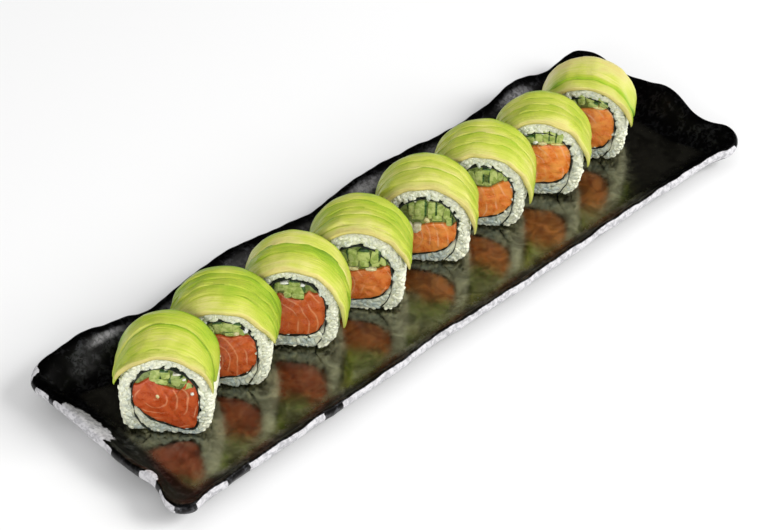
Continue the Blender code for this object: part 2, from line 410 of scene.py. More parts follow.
class Finishes:
    """Every finish of the platter, made once."""

    def __init__(self) -> None:
        """Builds the shared group and the materials."""
        self.moisture = moisture_group()
        self.glaze = Finish("black_glaze", {}, self.paint_glaze).material()
        soft = {"Subsurface Weight": 0.25, "Subsurface Radius": (1.0, 0.9, 0.7), "Subsurface Scale": 0.002}
        self.rice = Finish("cooked_rice", soft, self.paint_rice).material()
        self.nori = Finish("moist_nori", {"IOR": 1.45}, self.paint_nori).material()
        fish = {"Subsurface Weight": 0.15, "Subsurface Radius": (1.0, 0.35, 0.2), "Subsurface Scale": 0.003}
        wet = {"Coat Weight": 0.35, "Coat Roughness": 0.12}
        self.salmon = Finish("raw_salmon", fish | wet, self.paint_salmon).material()
        self.cucumber = Finish("cut_cucumber", wet, self.paint_cucumber).material()
        self.cream = Finish("soft_cream", wet, self.paint_cream).material()
        flesh = {"Subsurface Weight": 0.1, "Subsurface Radius": (1.0, 1.0, 0.4), "Subsurface Scale": 0.002}
        satin = {"Coat Weight": 0.06, "Coat Roughness": 0.28, "Specular IOR Level": 0.28}
        self.avocado = Finish("ripe_avocado", flesh | satin, self.paint_avocado).material()

    def paint_glaze(self, graph: Graph, shader: bpy.types.Node) -> None:
        """Near-black glaze that breaks to a matt, pitted silver grey on the rim and in patches, with painted sheen:
        soft grey patches of reflected light painted inside the far wall.

        The black is a dark metal: its colour is its mirror strength, high on the stored gloss.
        """
        where = graph.place()
        mottle = graph.noise(where, 520.0, 5.0, 0.6)
        torn = graph.noise(where, 130.0, 3.0, 1.0)
        pits = graph.cells(where, 560.0)
        patch = graph.math("ADD", graph.stored("silver"), graph.math("MULTIPLY", torn, 0.5))
        patch = graph.math("ADD", patch, graph.math("MULTIPLY", mottle, 0.3))
        mask = graph.span(patch, 0.88, 0.95)
        mask = graph.math("MULTIPLY", mask, graph.span(pits, 0.02, 0.10))
        # painted sheen: the stored spots turn the far wall matt silver grey, standing in for soft reflections of light
        sheen = graph.math("MULTIPLY", graph.stored("painted_sheen_spots"), graph.span(mottle, 0.32, 0.60, (0.62, 0.9)))
        mask = graph.math("MAXIMUM", mask, sheen)
        silver = graph.blend(graph.span(mottle, 0.36, 0.60), (0.36, 0.355, 0.37), (0.60, 0.59, 0.605))
        worn = graph.math("MULTIPLY", graph.span(mottle, 0.40, 0.62), graph.span(torn, 0.40, 0.60))
        wall = graph.blend(worn, (0.026, 0.025, 0.025), (0.11, 0.112, 0.12))
        floor = graph.blend(graph.span(torn, 0.3, 0.7), (0.18, 0.175, 0.135), (0.40, 0.395, 0.30))
        dark = graph.blend(graph.stored("gloss"), wall, floor)
        graph.feed(shader.inputs["Base Color"], graph.blend(mask, dark, silver))
        graph.feed(shader.inputs["Metallic"], graph.math("SUBTRACT", 1.0, graph.math("MULTIPLY", mask, 0.9)))
        rough = graph.math("ADD", graph.span(mottle, 0.3, 0.7, (0.14, 0.25)), graph.math("MULTIPLY", mask, 0.3))
        lift = graph.span(graph.stored("gloss"), 0.0, 1.0, (0.16, 0.0))
        graph.feed(shader.inputs["Roughness"], graph.math("ADD", rough, lift))
        relief = graph.math("ADD", graph.math("MULTIPLY", mask, 0.15), graph.math("MULTIPLY", mottle, 0.06))
        graph.feed(shader.inputs["Normal"], graph.bump(relief, 0.0003))

    def paint_rice(self, graph: Graph, shader: bpy.types.Node) -> None:
        """Moist white grains, greyer and bluer where the stored tone is high, which is painted shade on the cuts
        towards the filling and low under it.
        """
        damp = graph.group(self.moisture, Broad=420.0, Fine=1500.0, Dry=0.55, Wet=0.3)
        shade = graph.math("ADD", graph.stored("tone"), graph.math("MULTIPLY", damp.outputs["Tone"], 0.25), True)
        # the last stop, grey-blue, is the colour of the painted shade
        colour = graph.ramp(
            shade, [(0.0, (0.96, 0.95, 0.70)), (0.45, (0.83, 0.84, 0.63)), (1.0, (0.41, 0.48, 0.44))]
        )
        graph.feed(shader.inputs["Base Color"], colour)
        graph.feed(shader.inputs["Roughness"], damp.outputs["Roughness"])
        graph.feed(shader.inputs["Normal"], graph.bump(damp.outputs["Height"], 0.00016))

    def paint_nori(self, graph: Graph, shader: bpy.types.Node) -> None:
        """Near-black green sheet with a pressed, fibrous surface."""
        damp = graph.group(self.moisture, Broad=500.0, Fine=2600.0, Dry=0.7, Wet=0.4)
        colour = graph.blend(damp.outputs["Tone"], (0.006, 0.009, 0.007), (0.02, 0.028, 0.016))
        graph.feed(shader.inputs["Base Color"], colour)
        graph.feed(shader.inputs["Roughness"], damp.outputs["Roughness"])
        graph.feed(shader.inputs["Normal"], graph.bump(damp.outputs["Height"], 0.0004))

    def paint_salmon(self, graph: Graph, shader: bpy.types.Node) -> None:
        """Orange muscle with pale, broken fat lines along the stored muscle bands."""
        where = graph.place()
        damp = graph.group(self.moisture, Broad=260.0, Fine=1300.0, Dry=0.42, Wet=0.25)
        wobble = graph.math("MULTIPLY", graph.noise(where, 110.0, 1.0), 0.6)
        band = graph.math("FRACT", graph.math("ADD", graph.stored("muscle"), wobble))
        line = graph.span(graph.math("ABSOLUTE", graph.math("SUBTRACT", band, 0.5)), 0.13, 0.02)
        broken = graph.span(graph.noise(where, 110.0, 1.0), 0.40, 0.60)
        line = graph.math("MULTIPLY", line, broken)
        deep = graph.blend(damp.outputs["Tone"], (0.44, 0.062, 0.012), (0.55, 0.095, 0.018))
        bright = graph.blend(damp.outputs["Tone"], (0.78, 0.20, 0.028), (0.90, 0.33, 0.06))
        flesh = graph.blend(graph.stored("tone"), deep, bright)
        line = graph.math("MULTIPLY", line, graph.span(graph.stored("tone"), 0.0, 1.0, (0.42, 0.72)))
        colour = graph.blend(line, flesh, (0.88, 0.46, 0.24))
        graph.feed(shader.inputs["Base Color"], colour)
        graph.feed(shader.inputs["Roughness"], damp.outputs["Roughness"])
        graph.feed(shader.inputs["Normal"], graph.bump(damp.outputs["Height"], 0.0002))

    def paint_cucumber(self, graph: Graph, shader: bpy.types.Node) -> None:
        """Pale wet flesh, greener towards the dark skin side."""
        damp = graph.group(self.moisture, Broad=450.0, Fine=1500.0, Dry=0.4, Wet=0.2)
        flesh = graph.blend(damp.outputs["Tone"], (0.27, 0.36, 0.07), (0.50, 0.57, 0.18))
        skin = graph.blend(damp.outputs["Tone"], (0.015, 0.05, 0.01), (0.05, 0.14, 0.02))
        rind = graph.span(graph.stored("skin"), 0.35, 0.75)
        graph.feed(shader.inputs["Base Color"], graph.blend(rind, flesh, skin))
        graph.feed(shader.inputs["Roughness"], damp.outputs["Roughness"])
        graph.feed(shader.inputs["Normal"], graph.bump(damp.outputs["Height"], 0.0003))

    def paint_cream(self, graph: Graph, shader: bpy.types.Node) -> None:
        """Soft bits, from pale yellow to white."""
        damp = graph.group(self.moisture, Broad=500.0, Fine=1500.0, Dry=0.4, Wet=0.2)
        yellow = graph.blend(damp.outputs["Tone"], (0.55, 0.46, 0.14), (0.66, 0.60, 0.26))
        white = graph.blend(damp.outputs["Tone"], (0.66, 0.68, 0.60), (0.80, 0.82, 0.78))
        colour = graph.blend(graph.stored("white"), yellow, white)
        graph.feed(shader.inputs["Base Color"], colour)
        graph.feed(shader.inputs["Roughness"], damp.outputs["Roughness"])
        graph.feed(shader.inputs["Normal"], graph.bump(damp.outputs["Height"], 0.0004))

    def paint_avocado(self, graph: Graph, shader: bpy.types.Node) -> None:
        """Beige at a slice's front edge, through yellow, to green at its skin side and tips, with painted shade along
        the rear edge where the next slice lies over it.
        """
        where = graph.place()
        damp = graph.group(self.moisture, Broad=150.0, Fine=900.0, Dry=0.45, Wet=0.3)
        across, along = graph.stored("across"), graph.stored("along")
        lines = graph.node("ShaderNodeCombineXYZ")
        graph.feed(lines.inputs[0], graph.math("MULTIPLY", across, 26.0))
        graph.feed(lines.inputs[1], graph.math("MULTIPLY", along, 1.6))
        graph.feed(lines.inputs[2], graph.math("MULTIPLY", graph.stored("tone"), 37.0))
        streak = graph.noise(lines.outputs[0], 1.0, 3.0, 0.2)
        tip = graph.math("POWER", graph.math("ABSOLUTE", along), 3.0)
        green = graph.math("ADD", graph.math("MULTIPLY", across, 0.3), graph.math("MULTIPLY", tip, 0.34))
        green = graph.math("ADD", green, graph.math("MULTIPLY", graph.math("SUBTRACT", streak, 0.5), 0.6))
        patchy = graph.noise(where, 75.0, 2.0)
        green = graph.math("ADD", green, graph.math("MULTIPLY", graph.math("SUBTRACT", patchy, 0.5), 0.8))
        lip = graph.span(across, 0.14, 0.0, (0.0, -0.22))
        # greener to the rear edge: partly the real skin side, partly painted shade where the slice runs under the next
        # one
        tucked_shade = graph.span(across, 0.80, 1.0, (0.0, 0.45))
        green = graph.math("ADD", green, graph.math("ADD", lip, tucked_shade))
        green = graph.math("ADD", green, graph.stored("tone"))
        colour = graph.ramp(
            green,
            [
                (0.0, (0.61, 0.53, 0.17)),
                (0.10, (0.63, 0.60, 0.18)),
                (0.26, (0.53, 0.56, 0.09)),
                (0.44, (0.42, 0.50, 0.045)),
                (0.68, (0.28, 0.43, 0.02)),
                (1.0, (0.12, 0.24, 0.01)),
            ],
        )
        graph.feed(shader.inputs["Base Color"], colour)
        graph.feed(shader.inputs["Roughness"], damp.outputs["Roughness"])
        relief = graph.math("ADD", graph.math("MULTIPLY", streak, 0.9), graph.math("MULTIPLY", damp.outputs["Height"], 0.5))
        graph.feed(shader.inputs["Normal"], graph.bump(relief, 0.0005))


# ---- dish -------------------------------------------------------------------------------------


@dataclass
class Dish:
    """The hand-formed dish. Sizes in millimetres, before it is centred in the frame."""

    half_length: float = 168.4
    half_width: float = 49.4
    corner: float = 9.0
    floor_z: float = 7.0
    foot_height: float = 2.2
    foot_inset: float = 27.0
    edge: float = 5.4
    rim_z: tuple[float, float, float, float] = (11.6, 15.0, 13.4, 14.6)
    rise_width: tuple[float, float, float, float] = (4.5, 20.0, 9.5, 16.0)
    steps: tuple[int, int, int] = (240, 76, 12)
    rows_per_gap: int = 5
    floor_rows: int = 16
    # where on the rim, reach along it, lift and outward push of each wave
    waves: tuple[tuple[float, float, float, float, float], ...] = (
        (-142, 49, 17, 3.9, 2.1),
        (-104, 49, 12, -1.8, -1.2),
        (-62, 49, 18, 2.2, 1.2),
        (-14, 49, 13, -2.2, -1.2),
        (29, 49, 15, 0.8, 0.4),
        (81, 49, 24, -2.0, -1.2),
        (121, 49, 11, 2.0, 1.2),
        (143, 49, 12, -2.0, -1.0),
        (168, 21, 9, -1.0, -0.8),
        (168, -6, 12, 3.6, 1.6),
        (168, -30, 10, -0.8, -1.6),
        (168, -49, 12, 0.0, 4.2),
        (-168, 49, 12, 0.0, 1.6),
        (-168, -30, 9, -0.4, -2.2),
        (-168, -49, 10, 0.0, 3.0),
        (-27, -49, 22, 0.0, -1.2),
        (95, -49, 25, 0.0, -0.6),
    )
    # where the glaze breaks to silver (above 0) or stays black (below 0): x, y, reaches, amount
    patches: tuple[tuple[float, float, float, float, float], ...] = (
        (-138, -51, 5.5, 8, -1.4),
        (-87, -51, 4.5, 8, -1.4),
        (-165, 12.5, 7.5, 18.5, 0.75),
        (-170, 44.5, 10, 1.8, -1.6),
        (-172, 32.5, 6, 1.6, -1.6),
        (-170, -15, 12, 7.5, -1.8),
        (-165.5, -28, 3.5, 4.5, 0.75),
        (-170, -34, 12, 1.6, -1.6),
        (-166, -53, 5, 6, -1.6),
        (-166, 49, 4.5, 4, 0.8),
        (112, -52, 4, 1.6, -0.5),
        (125, -48, 13, 4, 0.28),
        (158, -46, 12, 5, 0.3),
        (168, -47, 5.5, 6, -0.9),
        (172, -20, 8, 24, -1.4),
        (172, 20, 8, 40, -1.4),
        (0, 54, 145, 6, -1.4),
    )
    # painted sheen: soft grey patches of reflected light painted inside the far wall, columns as above
    painted_sheens: tuple[tuple[float, float, float, float, float], ...] = (
        (-131, 44.5, 9, 1.5, 0.8),
        (-146, 40, 7, 4, 0.14),
        (-97, 43, 7, 2, 0.22),
        (-60, 41, 12, 2.6, 0.22),
        (-20, 41, 10, 2.6, 0.2),
        (15, 43, 12, 3, 0.6),
        (60, 42, 9, 2.6, 0.22),
        (88, 41, 12, 3, 0.16),
        (114, 43, 11, 2.8, 0.5),
        (-5, 38, 120, 8, 0.04),
    )

    def by_side(self, values: tuple[float, float, float, float], nx: Array, ny: Array) -> Array:
        """Blends the near, far, left and right values by the squares of the outward direction."""
        near, far, left, right = values
        return np.where(ny < 0, near, far) * ny**2 + np.where(nx < 0, left, right) * nx**2

    def stations(self) -> Array:
        """Points round the rim, anticlockwise: straight sides between quarter-circle corners.

        Returns:
            x, y and the outward direction of each station.
        """
        long_steps, short_steps, corner_steps = self.steps
        cx, cy = self.half_length - self.corner, self.half_width - self.corner
        corners = []
        for x, y, start in ((cx, -cy, -90), (cx, cy, 0), (-cx, cy, 90), (-cx, -cy, 180)):
            turn = np.radians(start + np.linspace(0.0, 90.0, corner_steps + 1))
            c, s = np.cos(turn), np.sin(turn)
            corners.append(np.stack([x + self.corner * c, y + self.corner * s, c, s], -1))
        parts = []
        for k, steps in enumerate((short_steps, long_steps, short_steps, long_steps)):
            here, after = corners[k], corners[(k + 1) % 4]
            share = np.linspace(0.0, 1.0, steps + 1)[1:-1, None]
            side = here[-1] * (1.0 - share) + after[0] * share
            parts += [here, side]
        return np.concatenate(parts)

    def wave(self, x: Array, y: Array, column: int) -> Array:
        """Sum over the waves of their lift (3) or push (4), each falling off as exp(-distance^2)."""
        table = np.array(self.waves)
        away = ((x[:, None] - table[:, 0]) ** 2 + (y[:, None] - table[:, 1]) ** 2) / table[:, 2] ** 2
        return (np.exp(-away) * table[:, column]).sum(axis=1)

    def control_rings(self, rim_stations: Array) -> Array:
        """Rings through which the section is drawn, from the foot over the rim to the floor.

        Each ring moves the rim's stations in along both axes and sets their height.

        Args:
            rim_stations: Output of stations.

        Returns:
            Rings by stations by 3, in millimetres.
        """
        x, y, nx, ny = rim_stations.T
        rim = self.by_side(self.rim_z, nx, ny) + self.wave(x, y, 3)
        push = self.wave(x, y, 4)
        rise = self.by_side(self.rise_width, nx, ny)
        above = rim - self.floor_z
        flat = np.zeros_like(x)
        profile = (
            (flat + self.foot_inset, flat, 0.0),
            (flat + self.foot_inset - 1.5, flat + self.foot_height, 0.0),
            (flat + 0.45 * self.foot_inset, self.foot_height + 0.2 * above, 0.3),
            (flat + 2.6, rim - self.edge - 0.8, 0.9),
            (flat + 0.4, rim - 0.75 * self.edge, 1.0),
            (flat, rim - 0.3 * self.edge, 1.0),
            (flat + 1.1, rim, 1.0),
            (2.2 + 0.06 * rise, rim - 0.3, 1.0),
            (2.2 + 0.3 * rise, self.floor_z + 0.62 * above, 0.7),
            (2.2 + 0.65 * rise, self.floor_z + 0.18 * above, 0.3),
            (2.2 + rise, flat + self.floor_z, 0.0),
        )
        rings = []
        for inset, height, swell in profile:
            px = x * (1.0 - inset / self.half_length) + swell * push * nx
            py = y * (1.0 - inset / self.half_width) + swell * push * ny
            rings.append(np.stack([px, py, height], -1))
        return np.array(rings)

    def smooth_rings(self, rings: Array) -> Array:
        """Cubic curves through the control rings, with slopes from each ring's neighbours."""
        gaps = np.linalg.norm(np.diff(rings, axis=0), axis=-1).mean(axis=1)
        knots = np.concatenate([[0.0], np.cumsum(gaps)])
        slopes = np.gradient(rings, knots, axis=0)
        out = []
        for k, gap in enumerate(gaps):
            t = np.linspace(0.0, 1.0, self.rows_per_gap, endpoint=False)[:, None, None]
            out.append(
                (2 * t**3 - 3 * t**2 + 1) * rings[k]
                + (t**3 - 2 * t**2 + t) * gap * slopes[k]
                + (3 * t**2 - 2 * t**3) * rings[k + 1]
                + (t**3 - t**2) * gap * slopes[k + 1]
            )
        return np.concatenate(out + [rings[-1:]])

    def closing_rings(self, ring: Array, station_x: Array, rows: int) -> Array:
        """Rings that shrink from the given one onto the middle line, where near and far points meet.

        Args:
            ring: The ring to start from.
            station_x: x of its stations on the rim, the same on the near and the far side.
            rows: Number of rings, the last of them on the middle line.

        Returns:
            Rings by points by 3.
        """
        share = np.linspace(0.0, 1.0, rows + 1)[1:, None, None]
        middle_x = station_x * (1.0 - self.half_width / self.half_length)
        spine = np.stack([middle_x, 0.0 * middle_x, np.full(len(ring), ring[:, 2].mean())], -1)
        return ring * (1.0 - share) + spine * share

    def spots(self, points: Array, table: tuple[tuple[float, ...], ...]) -> Array:
        """Sum over a table's ellipses of amount * exp(-distance^4), a flat spot with a soft edge."""
        total = np.zeros(points.shape[:2])
        for x, y, reach_x, reach_y, amount in table:
            away = ((points[..., 0] - x) / reach_x) ** 2 + ((points[..., 1] - y) / reach_y) ** 2
            total += amount * np.exp(-(away**2))
        return total

    def silver(self, points: Array, rows: Array) -> Array:
        """How far the glaze is worn to silver: full on the outer edge band, and in patches."""
        band = smoothstep(3.72, 3.92, rows) * (1.0 - smoothstep(5.6, 6.0, rows)) * 0.8
        return band[:, None] + self.spots(points, self.patches)

    def gloss(self, rows: Array) -> Array:
        """How mirror-like the glaze is: full on the floor, little on the walls and outside."""
        return smoothstep(9.9, 11.7, rows)

    def build(self, finish: bpy.types.Material) -> bpy.types.Object:
        """Makes the dish as one closed surface and moves it to the middle of the frame.

        Args:
            finish: The glaze.

        Returns:
            The dish.
        """
        stations = self.stations()
        rings = self.smooth_rings(self.control_rings(stations))
        rows = np.arange(len(rings)) / self.rows_per_gap
        lumps = ripple(rings, 13.0, 3)[..., None] * smoothstep(2.5, 4.5, rows)[:, None, None]
        lumps = lumps * (1.0 - smoothstep(6.5, 9.0, rows))[:, None, None]
        rings = rings + 0.14 * lumps * np.array([1.0, 1.0, 0.6])
        under = self.closing_rings(rings[0], stations[:, 0], 4)[::-1]
        floor = self.closing_rings(rings[-1], stations[:, 0], self.floor_rows)
        calm = smoothstep(0.0, 4.0, np.arange(len(floor)))[:, None]
        floor[..., 2] += 0.025 * ripple(floor[..., :2], 34.0, 5) * calm
        stack = np.concatenate([under, rings, floor])
        levels = np.concatenate([np.full(len(under), 0.0), rows, rows[-1] + 1.0 + np.arange(len(floor))])
        shell = Shell(
            stack.reshape(-1, 3),
            lattice(len(stack), stack.shape[1]),
            np.zeros((0, 3), np.int64),
            {
                "silver": self.silver(stack, levels).reshape(-1),
                # painted sheen spots inside the far wall
                "painted_sheen_spots": self.spots(stack, self.painted_sheens).reshape(-1),
                "gloss": np.repeat(self.gloss(levels), stack.shape[1]),
            },
        )
        low, high = shell.points.min(axis=0), shell.points.max(axis=0)
        shell.points = (shell.points - [(low[0] + high[0]) / 2, (low[1] + high[1]) / 2, 0.0]) * MM
        dish = make_object("glazed_dish", shell, finish)
        weld(dish, 0.02 * MM)
        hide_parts("dish")
        return dish


def weld(piece: bpy.types.Object, distance: float) -> None:
    """Merges points that lie closer than distance, in metres, and drops flat faces."""
    work = bmesh.new()
    work.from_mesh(piece.data)
    bmesh.ops.remove_doubles(work, verts=work.verts, dist=distance)
    bmesh.ops.dissolve_degenerate(work, edges=work.edges, dist=distance)
    bmesh.ops.recalc_face_normals(work, faces=work.faces)
    work.to_mesh(piece.data)
    work.free()
    piece.data.shade_smooth()


# ---- rolls ------------------------------------------------------------------------------------


@dataclass(frozen=True)
class Slice:
    """One avocado slice of a fan, in millimetres and degrees.

    front and rear are the depths of its edges at the top; left and right are how far below the
    widest line its tips reach; bow and back_bow are how far the edges come forward at the tips.
    turned puts the green skin side at the front; green shifts its colour; step is how far it
    stands over the slice in front.
    """

    front: float
    rear: float
    left: float
    right: float
    bow: float = 4.0
    back_bow: float = 4.0
    step: float = 0.7
    green: float = 0.0
    turned: bool = False


@dataclass(frozen=True)
class Stick:
    """One cucumber stick on the cut: its middle, width, height and tilt, and the side of its skin."""

    x: float
    z: float
    wide: float
    tall: float
    tilt: float = 0.0
    skin: float | None = None


@dataclass(frozen=True)
class Bit:
    """One soft bit on the cut: its middle, size and how white it is."""

    x: float
    z: float
    wide: float
    tall: float
    white: float = 0.0


@dataclass(frozen=True)
class Roll:
    """Shape of a roll, in millimetres and degrees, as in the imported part."""

    index: int
    turn: float
    thick: float
    wide: float
    tall: float
    base: float
    cap: float
    seam: Seam
    slant: float
    slices: tuple[Slice, ...]
    fish: tuple[float, float, tuple[tuple[float, float], ...]]
    sticks: tuple[Stick, ...]
    bits: tuple[Bit, ...]
    tone: float = 0.0
    arcs: tuple[float, float] = (-14.0, 14.0)
    square: tuple[float, float] = (5.0, 5.0)
    draw_in: tuple[float, float] = (0.1, 0.1)
    seam_foot: float = 9.0
    pile: float = 0.0

    HALF_WIDTH = 19.3
    WALL = 5.4
    SINK = 0.7
    INNER_SQUARE = 3.7

    def ring(
        self, angle: Array, half: Array | float, bottom: Array | float, top: Array | float,
        square: Array | float, draw_in: Array | float,
    ) -> tuple[Array, Array]:
        """Outline at an angle from the right: half an ellipse above the widest line, and half a
        superellipse below it that is drawn in at the foot.

        Args:
            angle: Degrees, anticlockwise.
            half: Half width.
            bottom: Lowest z.
            top: Highest z.
            square: Power of the superellipse.
            draw_in: Share of the width that is lost at the foot.

        Returns:
            x and z.
        """
        c, s = np.cos(np.radians(angle)), np.sin(np.radians(angle))
        middle, high = (bottom + top) / 2, (top - bottom) / 2
        down = np.abs(s) ** (2.0 / square)
        across = half * np.abs(c) ** (2.0 / square) * (1.0 - draw_in * down**2)
        x = np.where(s >= 0, half * c, np.sign(c) * across)
        return x, np.where(s >= 0, middle + high * s, middle - high * down)

    def outer(self, angle: Array, grow: Array | float = 0.0) -> tuple[Array, Array]:
        """Outside of the rice; grow moves the outline outwards."""
        half = self.HALF_WIDTH * self.wide + grow
        rightward = np.cos(np.radians(angle)) >= 0.0
        square, draw_in = (np.where(rightward, pair[1], pair[0]) for pair in (self.square, self.draw_in))
        x, z = self.ring(angle, half, -self.SINK - grow, self.tall + grow, square, draw_in)
        return x, np.maximum(z, 0.0)

    def foot_angle(self, x: float) -> float:
        """Angle, right of the lowest point, at which the outside of the rice is at x."""
        angle = np.linspace(-90.0, -40.0, 501)
        return float(np.interp(x, self.outer(angle)[0], angle))

    def walk(self, start: float, end: float, count: int) -> Array:
        """Angles from start to end that are evenly spaced along the outside of the rice.

        Just below the widest line the outline runs far in a tiny angle, so the table of angles
        that they are read from is finer there.

        Args:
            start: First angle.
            end: Last angle.
            count: How many angles.

        Returns:
            The angles.
        """
        fine = np.geomspace(1e-8, 0.5, 300)
        table = np.concatenate([np.linspace(start, end, 1441), -fine, fine, 180.0 - fine, 180.0 + fine])
        angle = np.unique(np.clip(table, min(start, end), max(start, end)))
        angle = angle if start < end else angle[::-1]
        x, z = self.outer(angle)
        run = np.concatenate([[0.0], np.cumsum(np.hypot(np.diff(x), np.diff(z)) + 1e-6)])
        return np.interp(np.linspace(0.0, run[-1], count), run, angle)

    def inner(self, angle: Array, grow: Array | float = 0.0) -> tuple[Array, Array]:
        """Middle line of the nori; grow moves it outwards. Its foot slants up to the seam side."""
        half = self.HALF_WIDTH * self.wide - self.WALL + grow
        x, z = self.ring(angle, half, self.base - grow, self.tall - self.cap + grow, self.INNER_SQUARE, 0.1)
        low = smoothstep(0.0, 0.7, -np.sin(np.radians(angle)))
        return x, z + 0.6 * self.slant * low * x / half

    def place(self, points: Array) -> Array:
        """Moves points of the roll's frame, in millimetres, to the platter's frame, in metres.

        The roll's rice box gives its middle, because the rice is as wide to the left as to the
        right and as deep as the roll.

        Args:
            points: Positions ending in x, y, z.

        Returns:
            Positions of the same shape.
        """
        low, high = (np.array(corner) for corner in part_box(f"rice_{self.index}"))
        turn = np.radians(self.turn)
        across = np.array([np.cos(turn), np.sin(turn), 0.0])
        into = np.array([-np.sin(turn), np.cos(turn), 0.0])
        middle = (low + high) / 2
        origin = np.array([middle[0], middle[1], low[2]]) - into * self.thick / 2 * MM
        axes = np.array([across, into, [0.0, 0.0, 1.0]])
        return origin + points @ axes * MM

    def handed(self, shell: Shell) -> Shell:
        """Mirrors a shell left to right where the seam is on the left, keeping faces outwards."""
        if self.seam is Seam.RIGHT:
            return shell
        shell.points = shell.points * [-1.0, 1.0, 1.0]
        return shell.flipped()

    def finish(self, name: str, shell: Shell, material: bpy.types.Material, slot: Slot) -> bpy.types.Object:
        """Places a shell as this roll's piece and hides the CAD node that it stands for.

        Args:
            name: Name of the piece without the roll's number.
            shell: Its mesh in the roll's frame.
            material: Its finish.
            slot: Its material slot, which is also the node's name without the number.

        Returns:
            The piece.
        """
        shell.points = self.place(shell.points)
        piece = make_object(f"{name}_{self.index}", shell, material)
        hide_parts(f"{slot.value}_{self.index}")
        return piece


def loaf(outline: Array, near: float, far: float, dome: float, rows: int = 8, caps: int = 5) -> Array:
    """Rings of a body with an outline in x and z, extruded along y, with softly domed ends.

    Each end's rings shrink towards the outline's middle while they move out by
    dome * sqrt(1 - share^2).

    Args:
        outline: Points by 2, clockwise seen from the front.
        near: y of the front rim.
        far: y of the back rim.
        dome: Height of the domes.
        rows: Rings along the body.
        caps: Rings on each end.

    Returns:
        Rings by points by 3.
    """
    share = np.sin(np.linspace(0.12, np.pi / 2, caps, endpoint=False))
    shares = np.concatenate([share, np.ones(rows), share[::-1]])
    bulge = dome * np.sqrt(1.0 - share**2)
    depth = np.concatenate([near - bulge, np.linspace(near, far, rows), far + bulge[::-1]])
    middle = outline.mean(axis=0)
    flat = middle + (outline - middle) * shares[:, None, None]
    y = np.broadcast_to(depth[:, None], flat.shape[:2])
    return np.stack([flat[..., 0], y, flat[..., 1]], -1)


def in_polygon(x: Array, z: Array, loop: Array) -> NDArray[np.bool_]:
    """Whether points lie in a closed outline, by counting the edges to their right."""
    a, b = loop, np.roll(loop, -1, axis=0)
    spans = (a[:, 1] > z[:, None]) != (b[:, 1] > z[:, None])
    with np.errstate(divide="ignore", invalid="ignore"):
        cross = a[:, 0] + (z[:, None] - a[:, 1]) * (b[:, 0] - a[:, 0]) / (b[:, 1] - a[:, 1])
    return ((spans & (x[:, None] < cross)).sum(axis=1) % 2).astype(bool)


